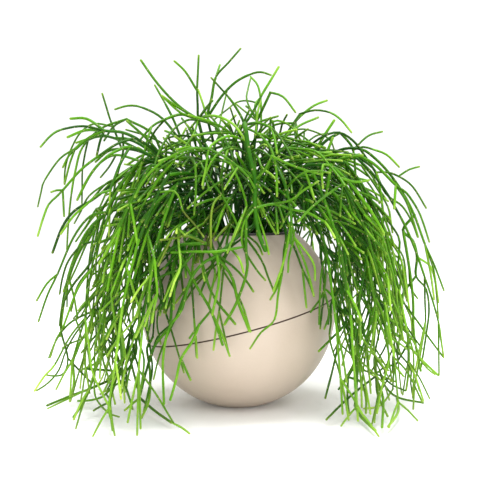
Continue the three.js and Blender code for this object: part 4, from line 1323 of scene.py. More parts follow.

# Stems of the outline and the front, drawn as the camera sees them: thickness level, depth of the
# first and the last point, then each point across and down the frame. Each starts at the nearest joint, and
# moves in depth where there is no room.
arcShape = {
    "near": 14, "leastGap": 0.1, "turnCost": 14, "turnWithin": 4, "front": -160, "low": 6, "thin": 3,
    "aside": (0, -4, 4, -8, 8, -12, 12, -16, 16, -20, 20, -25),
}
drawnStems = {
    "crown": [
        (-1, -84, -118, 245, 125, 249, 152, 255, 180, 255, 208, 259, 234, 266, 252),
        (3, -108, -116, 255, 211, 246, 219, 242, 232, 243, 247),
        (3, -100, -104, 257, 184, 264, 171, 272, 156),
        (2, -70, -118, 244, 133, 258, 134, 270, 147, 276, 168, 277, 197),
        (3, -104, -96, 275, 161, 288, 164, 304, 170, 322, 175),
        (3, -70, -98, 244, 136, 230, 136, 217, 141, 209, 149),
        (2, -98, -88, 209, 149, 192, 149, 172, 157, 155, 169, 143, 184, 136, 198),
        (3, -98, -116, 209, 149, 206, 167, 202, 186),
        (2, -98, -110, 209, 149, 225, 157, 238, 167, 248, 177, 255, 189),
        (4, -106, -118, 238, 169, 231, 178, 224, 190),
        (3, -106, -118, 238, 169, 222, 180, 203, 194, 187, 209),
        (2, -60, -104, 204, 162, 189, 170, 176, 186, 165, 203, 156, 216),
        (2, -90, -104, 200, 162, 214, 159, 230, 163, 248, 172),
        (2, -90, -118, 205, 172, 221, 195, 231, 212, 239, 230, 246, 249),
        (1, -80, -120, 271, 160, 281, 176, 288, 198, 291, 222, 290, 244),
        (2, -100, -112, 256, 200, 274, 204, 290, 209, 308, 213, 325, 222),
        (2, -60, -92, 314, 152, 328, 166, 338, 178, 343, 186),
        (2, -92, -116, 343, 186, 326, 195, 311, 207, 297, 222),
        (2, -92, -84, 343, 186, 356, 182, 370, 180), (3, -92, -104, 343, 186, 341, 201, 340, 217),
        (3, -104, -116, 323, 165, 322, 176, 323, 189),
        (3, -96, -108, 283, 184, 298, 176, 312, 171, 330, 173),
        (3, -100, -112, 305, 172, 310, 184, 315, 200),
        (1, -60, -122, 117, 209, 140, 214, 162, 222, 184, 233, 205, 244),
        (4, -100, -112, 161, 191, 174, 191, 180, 200, 183, 211),
        (4, -100, -118, 214, 203, 211, 218, 211, 250),
        (3, -90, -112, 224, 199, 214, 211, 203, 224, 196, 235),
        (3, -100, -112, 290, 200, 303, 190, 318, 181), (3, -108, -118, 262, 228, 266, 241, 269, 255),
    ],
    "top": [
        (4, 20, 50, 248, 115, 247, 101, 248, 89, 251, 77),
        (3, 50, 30, 252, 76, 258, 86, 261, 104, 261, 130),
        (4, 40, 20, 247, 101, 236, 103, 227, 110, 213, 121), (3, 20, 40, 248, 114, 255, 105, 262, 96),
        (4, 20, 30, 248, 114, 242, 109, 235, 103), (4, 0, 30, 218, 128, 222, 112, 227, 91),
        (3, 0, -30, 238, 134, 234, 119, 230, 107), (3, -10, -40, 258, 137, 263, 125, 271, 117),
        (3, 0, 20, 254, 134, 257, 117, 261, 98), (2, -10, -40, 193, 119, 179, 108, 161, 95),
        (3, 0, 10, 208, 119, 203, 104, 198, 89), (3, 0, -20, 199, 117, 206, 107, 213, 100),
        (3, 0, -30, 200, 119, 210, 117, 218, 127, 222, 141, 226, 155),
        (3, 0, -30, 204, 119, 220, 119, 233, 126, 243, 134),
        (3, 0, 20, 262, 129, 272, 123, 284, 124, 293, 131, 300, 142),
        (4, 20, 0, 289, 131, 303, 129, 318, 133, 330, 140, 335, 152),
    ],
    "leftTop": [
        (3, 20, 40, 95, 124, 81, 133, 71, 151, 66, 168, 65, 184),
        (3, 10, 30, 104, 130, 118, 126, 131, 125),
        (2, -10, 10, 132, 156, 116, 155, 100, 163, 88, 178, 77, 200),
        (3, -10, 0, 119, 158, 109, 167, 100, 178), (3, -10, 0, 122, 177, 106, 184, 89, 196),
        (0, -20, 10, 125, 170, 113, 186, 97, 199, 79, 210, 67, 226, 57, 252),
        (3, 0, 10, 88, 203, 81, 211, 74, 224), (3, -40, -60, 147, 139, 142, 160, 137, 182),
        (2, -20, -30, 123, 152, 117, 176, 112, 200, 108, 222), (3, 0, 10, 97, 209, 88, 224, 76, 242),
    ],
    "rightTop": [
        (1, -20, -10, 322, 137, 338, 133, 352, 141, 363, 155, 374, 172, 385, 194),
        (3, -20, -10, 390, 197, 402, 206, 412, 222, 418, 238),
    ],
    "leftLow": [
        (2, -10, 0, 98, 238, 83, 245, 70, 260, 64, 277, 61, 294),
        (3, 0, 0, 97, 224, 86, 245, 77, 266, 68, 285),
        (1, -20, 0, 92, 262, 75, 284, 65, 304, 63, 327, 70, 356), (3, -10, 0, 88, 268, 78, 285, 71, 312),
        (2, -30, -10, 112, 303, 92, 312, 70, 323, 56, 339, 47, 360),
        (1, -30, -20, 112, 316, 94, 325, 82, 339, 76, 353, 73, 362),
        (2, -20, -20, 73, 362, 74, 382, 70, 402), (3, -10, -10, 64, 373, 56, 376, 46, 375),
        (3, -20, 0, 92, 315, 75, 334, 65, 352, 58, 371, 47, 384, 35, 392),
        (4, -20, -10, 77, 336, 70, 344, 61, 349), (1, -30, -20, 120, 373, 94, 387, 70, 396, 46, 406),
        (3, -40, -30, 119, 379, 106, 394, 92, 400, 77, 401),
        (1, -40, -30, 112, 344, 98, 362, 92, 382, 84, 401, 73, 418),
        (3, -20, -20, 90, 328, 89, 348, 90, 371), (3, -30, -20, 112, 350, 97, 362, 79, 371),
        (1, -50, -50, 119, 363, 115, 382, 110, 402, 113, 431),
        (3, -50, -50, 119, 379, 127, 392, 133, 410), (3, -50, -40, 110, 401, 101, 406, 93, 411),
        (2, -60, -50, 127, 352, 134, 374, 140, 398), (1, -50, -70, 140, 398, 155, 411, 172, 423),
        (3, -60, -50, 140, 396, 132, 404, 124, 411),
        (2, -70, -70, 147, 348, 150, 372, 149, 400, 141, 419),
        (2, -60, -80, 152, 271, 134, 279, 121, 292, 115, 314, 107, 338),
        (3, -80, -80, 152, 288, 137, 297, 126, 309, 117, 331),
        (3, -80, -90, 149, 288, 141, 311, 131, 331),
    ],
    "rightLow": [
        (1, -20, 0, 403, 230, 413, 241, 417, 257, 416, 276),
        (2, 0, 10, 416, 276, 426, 289, 429, 310, 426, 336, 421, 368),
        (1, 0, -10, 416, 276, 402, 296, 403, 313, 408, 334, 409, 362),
        (2, -10, -10, 409, 362, 408, 377, 406, 391), (3, 0, 10, 418, 256, 430, 266, 435, 280, 437, 298),
        (1, -20, -10, 401, 240, 409, 266, 413, 299, 414, 334, 421, 372),
        (2, -30, -10, 399, 299, 415, 318, 429, 338, 444, 358),
        (2, -40, -20, 382, 321, 404, 341, 422, 360, 439, 376),
        (3, -20, -10, 397, 310, 407, 328, 421, 348), (2, -40, -30, 380, 331, 394, 347, 410, 367),
        (3, -40, -30, 387, 349, 395, 364, 404, 377), (3, -10, -10, 410, 284, 413, 292, 418, 299),
        (3, -30, -20, 380, 371, 391, 384, 406, 391), (2, -40, -30, 384, 384, 397, 397, 424, 403),
        (2, -40, -40, 397, 399, 398, 412, 388, 427), (2, -50, -50, 376, 376, 383, 398, 382, 428),
        (2, -50, -50, 371, 376, 378, 395, 388, 417), (1, -60, -60, 357, 330, 358, 360, 355, 406),
        (1, -60, -60, 355, 406, 364, 425, 379, 441), (2, -60, -60, 357, 388, 341, 402, 325, 418),
        (2, -60, -60, 341, 346, 333, 368, 325, 399), (3, -60, -60, 355, 364, 348, 377, 338, 390),
        (3, -60, -60, 362, 384, 367, 400, 367, 416), (3, -60, -60, 345, 384, 348, 400, 350, 417),
        (2, -70, -60, 352, 261, 364, 277, 377, 296, 389, 318),
        (3, -70, -60, 353, 260, 368, 268, 381, 284, 389, 312),
        (2, -70, -80, 352, 262, 341, 284, 331, 304, 328, 325),
        (2, -80, -70, 329, 248, 337, 275, 344, 306, 347, 324),
        (2, -80, -90, 346, 322, 333, 337, 318, 352),
    ],
    "front": [
        (3, -118, -110, 188, 236, 175, 238, 160, 240),
        (1, -112, -100, 196, 239, 176, 246, 160, 260, 149, 284, 139, 305),
        (2, -118, -108, 216, 251, 195, 251, 171, 252), (0, -100, -124, 254, 224, 240, 235, 217, 255),
        (1, -124, -122, 217, 255, 202, 264, 190, 281, 181, 311),
        (2, -124, -124, 217, 255, 219, 280, 212, 316),
        (1, -112, -122, 236, 230, 246, 249, 247, 270, 237, 301, 224, 325),
        (1, -112, -124, 222, 253, 231, 276, 238, 302, 250, 333),
        (2, -112, -122, 223, 254, 234, 268, 246, 281, 254, 293),
        (3, -116, -120, 247, 256, 256, 269, 266, 281), (3, -112, -118, 232, 246, 239, 258, 244, 273),
        (1, -112, -116, 195, 240, 183, 265, 173, 294, 169, 328),
        (2, -116, -116, 169, 328, 163, 360, 164, 405),
        (1, -116, -100, 169, 326, 154, 347, 146, 372, 140, 396),
        (1, -112, -122, 196, 241, 204, 270, 214, 297, 236, 325),
        (1, -112, -122, 181, 259, 196, 285, 211, 311, 223, 346),
        (2, -120, -122, 211, 311, 199, 325, 189, 339), (3, -120, -122, 211, 313, 221, 332, 230, 357),
        (2, -120, -118, 193, 340, 181, 359, 176, 380, 170, 401), (2, -118, -120, 181, 358, 191, 381),
        (3, -118, -118, 153, 283, 152, 310, 147, 340), (3, -108, -112, 146, 298, 147, 331),
        (2, -112, -100, 181, 267, 160, 277, 137, 297), (4, -110, -112, 161, 298, 157, 322, 161, 345),
        (3, -112, -120, 290, 231, 284, 260, 273, 292), (3, -112, -118, 294, 237, 289, 257, 288, 273),
        (3, -112, -118, 297, 237, 306, 266, 314, 296), (4, -108, -110, 304, 240, 313, 262, 315, 281),
        (3, -104, -106, 326, 250, 321, 276, 319, 325), (3, -100, -104, 335, 260, 324, 290, 310, 313),
        (3, -104, -102, 322, 297, 329, 313, 324, 330), (3, -108, -118, 250, 232, 257, 244, 263, 256),
    ],
    "upperLeft": [
        (2, -14, -34, 198, 119, 181, 113, 162, 96),
        (2, -20, -74, 198, 120, 216, 127, 229, 147, 236, 168),
        (3, -16, -40, 199, 120, 206, 109, 212, 99),
        (2, -18, -70, 198, 120, 187, 121, 173, 131, 160, 152, 154, 172),
        (2, -16, -60, 199, 121, 215, 117, 233, 125, 246, 142),
        (3, -24, -64, 199, 122, 194, 134, 184, 150, 178, 168),
    ],
    "curtains": [
        (3, -96, -118, 150, 295, 142, 318, 139, 340, 144, 360, 141, 390),
        (3, -100, -128, 146, 335, 149, 352, 151, 372, 147, 395, 142, 416),
        (3, -92, -100, 157, 338, 153, 350, 149, 364),
        (4, -100, -120, 170, 325, 165, 341, 158, 360, 153, 381),
        (3, -96, -112, 122, 338, 127, 360, 126, 386), (3, -88, -118, 114, 348, 121, 372, 132, 406),
        (4, -90, -96, 130, 322, 137, 348, 132, 362, 125, 374),
        (3, -84, -90, 133, 330, 134, 352, 139, 371, 138, 396),
        (3, -70, -96, 355, 338, 356, 362, 357, 408),
        (4, -80, -112, 331, 322, 330, 340, 340, 375, 349, 414),
        (4, -66, -90, 347, 318, 356, 340, 354, 362, 340, 388),
        (3, -74, -108, 358, 328, 362, 360, 376, 390, 387, 417),
        (4, -40, -48, 370, 332, 367, 358, 371, 386),
        (4, -20, -40, 378, 338, 374, 360, 376, 376, 381, 394),
    ],
}


# Value at a place along rows of (place, value), 0 past their ends
def valueAt(rows, place):
    if place < rows[0][0] or place >= rows[-1][0]:
        return 0
    for (x0, y0), (x1, y1) in zip(rows, rows[1:]):
        if place < x1:
            return y0 + (y1 - y0) * (place - x0) / (x1 - x0)


# Whether a stem goes out of the plant's girth, below the front limit or out of the highest and lowest
def leavesPlant(stray):
    def leaves(point):
        x, y, z = point
        front = fineGrowth["front"]
        across = math.hypot(x, y)
        girth = valueAt(fineGrowth["girth"], z) + fineGrowth["bulge"] * x / max(across, 1)
        outside = z > fineGrowth["highest"] or across > min(girth + stray, fineGrowth["widest"])
        outside = outside or z > front["height"] and y < front["depth"]
        outside = outside or abs(y - fineGrowth["middleDepth"]) > fineGrowth["halfDepth"]
        return outside or y < 0 and z < valueAt(fineGrowth["frontLimit"], x)
    return leaves


# The way finer stems are drawn from that place: outwards from the middle, up or down by height
def flowAt(point):
    x, y, z = point
    across = max(math.hypot(x, y), fineGrowth["outwardFrom"])
    out = valueAt(fineGrowth["outward"], z) / across
    return unit((x * out, y * out, -valueAt(fineGrowth["downward"], z) - fineGrowth["leastFall"]))


# A finer stem from one of the joints, or None where there is no room
def growShoot(spray, draw, parent, at, rule, firstSpin):
    stems = spray["stems"]
    points = stems[parent]["points"]
    start = points[at]
    if draw(0, 1) > valueAt(fineGrowth["thick"], start[2]):
        return None
    level = stems[parent]["level"] + 1
    heading = unit(minus(start, points[at - 1]))
    radius = radiusOf(level)
    stray = fineGrowth["stray"] * draw(0, 1) ** 2
    sinks = rule.get("droop", valueAt(fineGrowth["droop"], start[2]))
    sinking = sinks if isinstance(sinks, tuple) else [sinks * share for share in fineGrowth["droopShares"]]
    pull = rule.get("pull", valueAt(fineGrowth["pull"], start[2]))
    spin, mostBend = fineGrowth["spinStray"], rule.get("bend", fineGrowth["bend"])

    def make(attempt):
        way = leaned(heading, draw(*rule["lean"]), firstSpin + draw(-spin, spin))
        way = unit(plus(way, times(flowAt(start), pull)))
        reach = draw(*rule["reach"]) * (1 - fineGrowth["shorten"] * attempt)
        bend = times(leaned(way, math.pi / 2, draw(0, wholeTurn)), draw(0, mostBend))
        droop, width = draw(*sinking), radius * plant["sideFactor"]
        return trail(start, way, reach, droop, width, leavesPlant(stray), bend)

    stem = tryStem(spray, make, radius, parent, level, fineGrowth["tries"], fineGrowth["gap"])
    if stem:
        stem.update(at=at, fine=True, olive=rule.get("olive", 0))
    return stem


def lastPoint(stem):
    return len(stem["points"]) - 1


def runOn(spray, draw, first):
    stems = spray["stems"]
    onward = fineGrowth["onward"]
    waiting = [(first, onward["depth"])]
    while waiting and len(stems) < fineGrowth["most"]:
        index, left = waiting.pop(0)
        end = stems[index]["points"][-1]
        if left <= 0 or end[2] < fineGrowth["lowest"] + onward["rise"]:
            continue
        spin = draw(0, wholeTurn)
        for child in range(2 if draw(0, 1) < onward["fork"] else 1):
            rule = onward if child == 0 else fineGrowth["side"]
            if growShoot(spray, draw, index, lastPoint(stems[index]), rule, spin + child * onward["apart"]):
                if child == 0 or draw(0, 1) < onward["sideGoesOn"]:
                    waiting.append((len(stems) - 1, left - 1))


def growRunners(spray, draw):
    stems = spray["stems"]
    for rule in fineGrowth["runners"]:
        first = [i for i, stem in enumerate(stems) if stem["level"] == rule["from"] and "arc" not in stem]
        for index in first[: fineGrowth["runnerStems"]]:
            at = lastPoint(stems[index])
            for _ in range(rule["count"]):
                if stems[index]["points"][at][2] > soilTop + fineGrowth["runnerRise"]:
                    if growShoot(spray, draw, index, at, rule, draw(0, wholeTurn)):
                        runOn(spray, draw, len(stems) - 1)


def growTwigs(spray, draw, roundIndex):
    stems = spray["stems"]
    twigs = fineGrowth["twigs"]
    for index, stem in enumerate(stems[1:], 1):
        if len(stems) >= fineGrowth["most"] + twigs["more"] * roundIndex:
            return
        points = stem["points"]
        shoots = sum(other["from"] == index for other in stems)
        isSolidTip = shoots == 0 and "fine" not in stem
        if points[-1][2] < fineGrowth["lowest"] or isSolidTip:
            continue
        for _ in range(max(0, twigs["most"] + roundIndex - shoots)):
            if draw(0, 1) < twigs["share"]:
                at = len(points) - (2 if len(points) > 3 and draw(0, 1) < twigs["below"] else 1)
                growShoot(spray, draw, index, at, fineGrowth["side"], draw(0, wholeTurn))


def isIn(zone, place):
    return all(low <= value <= high for low, value, high in zip(zone["low"], place, zone["high"]))


def growZone(spray, draw, zone):
    stems = spray["stems"]
    for index, stem in enumerate(stems[1:], 1):
        if isIn(zone, stem["points"][-1]):
            for _ in range(zone["shoots"]):
                if len(stems) < zone["most"]:
                    growShoot(spray, draw, index, lastPoint(stem), zone, draw(0, wholeTurn))


# Joint of a grown stem near to a place and behind it on the way that the stem takes, as spray, stem and point
def nearestJoint(place, way):
    best = None
    for spray in sprays:
        for index, stem in enumerate(spray["stems"]):
            for at in range(1, len(stem["points"])):
                gap = minus(place, stem["points"][at])
                off = size(gap)
                turned = 1 - dot(gap, way) / max(off, arcShape["leastGap"])
                off += arcShape["turnCost"] * min(1, off / arcShape["turnWithin"]) * turned
                if best is None or off < best[0]:
                    best = (off, spray, index, at)
    return best[1:]


def sightLine(across, down):
    half, pitch = cameraPlan["frame"] / 2, math.radians(cameraPlan["pitch"])
    focal = cameraPlan["lens"] / cameraPlan["sensor"] * cameraPlan["frame"]
    right, up = (across - half) / focal, (half - down) / focal
    return right, math.cos(pitch) + up * math.sin(pitch), up * math.cos(pitch) - math.sin(pitch)


# A drawn stem's points in millimetres. The end comes forward where its sight line meets the floor before it.
def drawnPath(first, last, spots):
    eye = times(cameraPlan["place"], 1 / mm)
    rays = [sightLine(across, down) for across, down in spots]
    if rays[-1][2] < 0:
        onFloor = eye[1] + (arcShape["low"] - eye[2]) * rays[-1][1] / rays[-1][2]
        last = max(arcShape["front"], min(last, onFloor))
    depths = [first + (last - first) * i / (len(rays) - 1) for i in range(len(rays))]
    return [plus(eye, times(ray, (depth - eye[1]) / ray[1])) for ray, depth in zip(rays, depths)]


def growArc(row):
    level, first, last, *spots = row
    path = drawnPath(first, last, list(zip(spots[::2], spots[1::2])))
    spray, parent, at = nearestJoint(path[0], unit(minus(path[1], path[0])))
    start = spray["stems"][parent]["points"][at]
    isNear = size(minus(start, path[0])) < arcShape["near"]

    def make(attempt):
        aside = arcShape["aside"][attempt]
        free = [(x, max(y + aside, arcShape["front"]), max(z, arcShape["low"])) for x, y, z in path]
        return [start, *free[isNear:]]

    radius = radiusOf(max(0, level))
    stem = tryStem(spray, make, radius, parent, level, len(arcShape["aside"]), fineGrowth["gap"])
    if stem:
        stem.update(at=at, arc=True)
        if level >= arcShape["thin"] and isIn(fineGrowth["sunburnt"], path[-1]):
            stem["olive"] = fineGrowth["sunburnt"]["olive"]
    return stem


def growFine():
    for region, rows in drawnStems.items():
        grown = [growArc(row) for row in rows]
        print("drawn", region, "stems:", len(rows), "without room:", grown.count(None))
    passes = [(growRunners,)]
    passes += [(growTwigs, roundIndex) for roundIndex in range(1, fineGrowth["rounds"])]
    passes += [(growZone, zone) for zone in fineGrowth["zones"]]
    for passIndex, (growPass, *plan) in enumerate(passes):
        seed = fineGrowth["seed"] + passIndex * fineGrowth["passSeed"]
        for spray in sprays:
            growPass(spray, makeRandom(seed + spray["owner"] * fineGrowth["spraySeed"]), *plan)


growFine()
print("grown", sum(len(spray["stems"]) for spray in sprays) - solidStems, "finer stems")


# Stems as smooth lines with a blunt round tip, their thickness and age on every point. Ages go from 0 to 1.
stemShape = {
    "step": 5.0,
    "sides": 8,
    "leastRun": 0.75,
    "widths": (2.3, 1.74, 1.5, 1.3, 1.17, 1.1, 1.05, 1.02, 1.0),
    "toneWidth": (0.9, 0.2),
    "toneSeed": 8154,
    "toneSeedStep": 127,
    "jointInset": 1.3,
    "neck": 0.84,
    "neckLength": 3.5,
    "tipTaper": 0.9,
    # how far back from the end and how wide, as shares of the stem's radius there
    "tip": ((1.0, 1.0), (0.62, 0.93), (0.27, 0.72), (0.06, 0.4), (0.0, 0.12)),
    "capLength": 5.0,
    "levelAge": 9,
    "lowAge": 0.36,
    "oldestStart": 0.5,
    # painted light: low stems, which hang out of the plant's shade, are drawn paler
    "lowPaintedLight": 0.06,
    "shootAge": 0.05,
    "tipAge": (0.1, 0.2),
    "agePower": 1.6,
    "toneAge": 0.16,
    "young": {"tone": 0.9, "level": 2, "age": 0.1},
}


# The shoot that bends least from each stem's end runs on from it, as in the solids
def runningOn(stems):
    chosen = {}
    for index, stem in enumerate(stems):
        parent = stem["from"]
        if parent < 0 or "at" in stem and stem["at"] < lastPoint(stems[parent]):
            continue
        heading = headingAtEnd(stems[parent]["points"])
        along = dot(heading, unit(minus(stem["points"][1], stem["points"][0])))
        if along > stemShape["leastRun"] and along > chosen.get(parent, (0, 0))[0]:
            chosen[parent] = (along, index)
    return {parent: index for parent, (along, index) in chosen.items()}


def curvePoint(a, b, c, d, t):
    return tuple(
        0.5 * (2 * q + (r - p) * t + (2 * p - 5 * q + 4 * r - s) * t * t + (3 * q - p - 3 * r + s) * t**3)
        for p, q, r, s in zip(a, b, c, d)
    )


def smoothLine(points, before, after):
    ghosts = [before or plus(points[0], minus(points[0], points[1])), *points]
    ghosts.append(after or plus(points[-1], minus(points[-1], points[-2])))
    line = [points[0]]
    for i in range(1, len(ghosts) - 2):
        count = stepCount(size(minus(ghosts[i + 1], ghosts[i])), stemShape["step"])
        line += [curvePoint(*ghosts[i - 1 : i + 3], k / count) for k in range(1, count + 1)]
    return line


# A stem's line as (place, width, run from its start)
def stemLine(stems, index, chosen, tone):
    stem = stems[index]
    parent = stems[stem["from"]] if stem["from"] >= 0 else None
    before = after = None
    if parent and chosen.get(stem["from"]) == index:
        before = parent["points"][stem.get("at", lastPoint(parent)) - 1]
    if index in chosen:
        after = stems[chosen[index]]["points"][1]
    line = smoothLine(stem["points"], before, after)
    if parent:
        line[0] = plus(line[0], times(unit(minus(line[0], line[1])), stemShape["jointInset"]))
    least, more = stemShape["toneWidth"]
    radius = stemShape["widths"][min(stem["level"] + 1, len(stemShape["widths"]) - 1)] * (least + more * tone)
    steps = [size(minus(q, p)) for p, q in zip(line, line[1:])]
    runs = list(itertools.accumulate(steps, initial=0.0))
    rows = []
    for place, run in zip(line, runs):
        neck = min(1, run / stemShape["neckLength"]) if parent else 1
        width = radius * (stemShape["neck"] + (1 - stemShape["neck"]) * neck)
        rows.append((place, width * (1 - (1 - stemShape["tipTaper"]) * (run / runs[-1])), run))
    last, width, run = rows.pop()
    heading = headingAtEnd(line)
    for back, part in stemShape["tip"]:
        rows.append((minus(last, times(heading, width * back)), width * part, run - width * back))
    return rows


# The same with the age and the share of a growing tip on every point
def stemRows(stems, index, chosen, tone):
    stem, young = stems[index], stemShape["young"]
    line = stemLine(stems, index, chosen, tone)
    whole = line[-1][2]
    low = max(0, 1 - line[-1][0][2] / soilTop)
    hasShoots = any(other["from"] == index for other in stems)
    startAge = max(stem["level"] / stemShape["levelAge"], stemShape["lowAge"] * low)
    # painted light: low stems are drawn paler, as if out of the plant's shade
    startAge = min(stemShape["oldestStart"], startAge) + stemShape["lowPaintedLight"] * low
    least, more = stemShape["tipAge"]
    endAge = startAge + (stemShape["shootAge"] if hasShoots else least + more * tone)
    extra = young["age"] if tone > young["tone"] and stem["level"] >= young["level"] else 0
    rows = []
    for place, width, run in line:
        age = startAge + (endAge - startAge) * (run / whole) ** stemShape["agePower"]
        age = age + extra + stemShape["toneAge"] * (tone - 0.5)
        cap = 0 if hasShoots else max(0, 1 - (whole - run) / stemShape["capLength"])
        rows.append((place, width, age, cap, run))
    return rows


# How much grows outside a place, 0 at the surface of the plant and 1 deep in it, used for the painted shade
# of the stems deep in the plant
crowding = {"cell": 12, "away": 24, "middle": 150, "lift": 0.1, "few": 6, "many": 116}
crowd = {}


def cellOf(place):
    return tuple(math.floor(value / crowding["cell"]) for value in place)


def countCrowd(lines):
    for rows, _, _ in lines:
        for row in rows:
            cell = cellOf(row[0])
            crowd[cell] = crowd.get(cell, 0) + 1


def paintedShadeShare(place):
    outward = unit((place[0], place[1], max(0, place[2] - crowding["middle"]) + crowding["lift"]))
    cell = cellOf(plus(place, times(outward, crowding["away"])))
    count = sum(crowd.get(near, 0) for near in itertools.product(*((i - 1, i, i + 1) for i in cell)))
    return min(1, max(0, count - crowding["few"]) / (crowding["many"] - crowding["few"]))


def lineMesh(name, lines):
    mesh = bpy.data.meshes.new(name)
    places, edges = [], []
    values = {"thick": [], "age": [], "cap": [], "along": [], "tone": [], "olive": [], "inner": []}
    for rows, tone, stem in lines:
        edges += [(i, i + 1) for i in range(len(places), len(places) + len(rows) - 1)]
        for place, width, age, cap, run in rows:
            places.append(times(place, mm))
            row = (width * mm, age, cap, run * mm, tone, stem.get("olive", 0), paintedShadeShare(place))
            for numbers, value in zip(values.values(), row):
                numbers.append(value)
    mesh.from_pydata(places, edges, [])
    for key, numbers in values.items():
        mesh.attributes.new(key, "FLOAT", "POINT").data.foreach_set("value", numbers)
    return mesh


# Stem skin follows the attributes that each stem carries: age 0 at the old foot to 1 at the youngest
# tips, cap 1 at a growing tip, tone a number for each stem, along and round its place on the stem, inner
# how deep in the plant it stands, which darkens it as painted shade
stemLook = {
    "shader": {"Roughness": 0.4, "Specular IOR Level": 0.14},
    "old": (0.012, 0.08, 0.0005, 1),
    "grown": (0.062, 0.195, 0.002, 1),
    "young": (0.168, 0.315, 0.022, 1),
    "tip": (0.28, 0.4, 0.05, 1),
    "olive": (0.1, 0.092, 0.01, 1),
    # painted light on stems near the plant's surface, and painted shade on those deep in it, mixed by inner
    "paintedLightOuter": (1.24, 1.17, 1.5, 1),
    "inner": (0.26, 0.5, 0.12, 1),
    "patch": 0.014,
    "patchAge": (-0.1, 0.1),
    "patchOlive": (0.5, 1),
    "toneShade": (0.62, 1.32),
    "capShare": 0.5,
    "roughness": (0.34, 0.48),
    "ribs": 9.0,
    # painted light and shade on the rib crests and the hollows between them
    "ribShade": (0.84, 1.2),
    "ribHeight": 0.5,
    "speck": (0.25, 0.3, 0.1, 1),
    "speckEdge": (0.12, 0.11, 0.03, 1),
    "speckStep": 0.0075,
    "speckTurn": 0.382,
    "speckStart": 7.0,
    "speckWidth": 0.16,
    "speckSize": (0.009, 0.004),
    "edgeSize": (0.02, 0.011),
    "edgeShare": 0.6,
    "speckHeight": 1.5,
    "grain": 0.0004,
    "bump": 0.35,
    "relief": 0.00008,
}


# Distance from the middle of the nearest speck. Specks stand in rows turned from one another.
def speckDistance(tree, angle, along, tone):
    step = addMath(tree, "DIVIDE", along, stemLook["speckStep"])
    start = addMath(tree, "MULTIPLY", tone, stemLook["speckStart"])
    turn = addMath(tree, "MULTIPLY_ADD", addMath(tree, "FLOOR", step), stemLook["speckTurn"], start)
    turn = addMath(tree, "FRACT", turn)
    offAngle = addMath(tree, "MULTIPLY_ADD", turn, -2 * math.pi, addMath(tree, "ADD", angle, math.pi))
    nearAngle = addMath(tree, "MULTIPLY_ADD", addMath(tree, "COSINE", offAngle), -0.5, 0.5)
    offAlong = addMath(tree, "SUBTRACT", addMath(tree, "FRACT", step), 0.5)
    across = addMath(tree, "MULTIPLY", nearAngle, stemLook["speckWidth"])
    return addMath(tree, "ADD", addMath(tree, "MULTIPLY", offAlong, offAlong), across)


def makeStemSkin():
    look = stemLook
    material, tree, skin, place = newMaterial("stemSkin", look["shader"])
    age, cap, tone, along, olive, inner = [
        readAttribute(tree, name)["Fac"] for name in ("age", "cap", "tone", "along", "olive", "inner")
    ]
    patches = placeGroup(tree, softMottle, place, Size=look["patch"])
    ripeness = addMath(tree, "ADD", age, addRange(tree, patches, 0, 1, *look["patchAge"]))
    stops = ((0, look["old"]), (0.4, look["grown"]), (0.78, look["young"]), (1, look["tip"]))
    sunburn = addMath(tree, "MULTIPLY", olive, addRange(tree, patches, 0, 1, *look["patchOlive"]))
    colour = addMix(tree, sunburn, addRamp(tree, ripeness, stops), look["olive"])
    colour = addShade(tree, colour, addRange(tree, tone, 0, 1, *look["toneShade"]))
    # painted shade and light: stems deep in the plant are darkened and those near its surface lightened, in
    # place of the shade that the plant casts into itself
    colour = addShade(tree, colour, addMix(tree, inner, look["paintedLightOuter"], look["inner"]))
    # shallow lengthwise ribs, with painted light and shade: paler on their crests, darker between them
    around = addNode(tree, "ShaderNodeSeparateXYZ", {0: readAttribute(tree, "round")["Vector"]}).outputs
    angle = addMath(tree, "ARCTAN2", around["Y"], around["X"])
    ribs = addMath(tree, "SINE", addMath(tree, "MULTIPLY", angle, look["ribs"]))
    colour = addShade(tree, colour, addRange(tree, ribs, -1, 1, *look["ribShade"]))
    # small pale specks, each with a rusty edge
    distance = speckDistance(tree, angle, along, tone)
    edge, speck = [addRange(tree, distance, *look[name]) for name in ("edgeSize", "speckSize")]
    colour = addMix(tree, addMath(tree, "MULTIPLY", edge, look["edgeShare"]), colour, look["speckEdge"])
    colour = addMix(tree, speck, colour, look["speck"])
    colour = addMix(tree, addMath(tree, "MULTIPLY", cap, look["capShare"]), colour, look["tip"])
    height = placeGroup(tree, fineGrain, place, Size=look["grain"])
    for value, name in ((ribs, "ribHeight"), (speck, "speckHeight")):
        height = addMath(tree, "MULTIPLY_ADD", value, look[name], height)
    finishSkin(tree, skin, look, colour, height, addRange(tree, patches, 0, 1, *look["roughness"]))
    return material


def makeStemNodes():
    tree, start, end = newNodes("stemTubes", [("Sides", "Int", 8)])
    lines = addNode(tree, "GeometryNodeMeshToCurve", {0: start["Geometry"]})
    thick = addNode(tree, "GeometryNodeInputNamedAttribute", {"Name": "thick"}, data_type="FLOAT")
    circle = addNode(tree, "GeometryNodeCurvePrimitiveCircle", {"Resolution": start["Sides"], "Radius": 1.0})
    place = addNode(tree, "GeometryNodeInputPosition").outputs[0]
    marked = storeValue(tree, circle.outputs[0], "round", place, "FLOAT_VECTOR", "POINT")
    tubes = addNode(
        tree, "GeometryNodeCurveToMesh",
        {"Curve": lines.outputs[0], "Profile Curve": marked, "Scale": thick.outputs[0], "Fill Caps": True},
    )
    smooth = addNode(tree, "GeometryNodeSetShadeSmooth", {0: tubes.outputs[0], "Shade Smooth": True})
    return endNodes(tree, smooth.outputs[0], start, end)


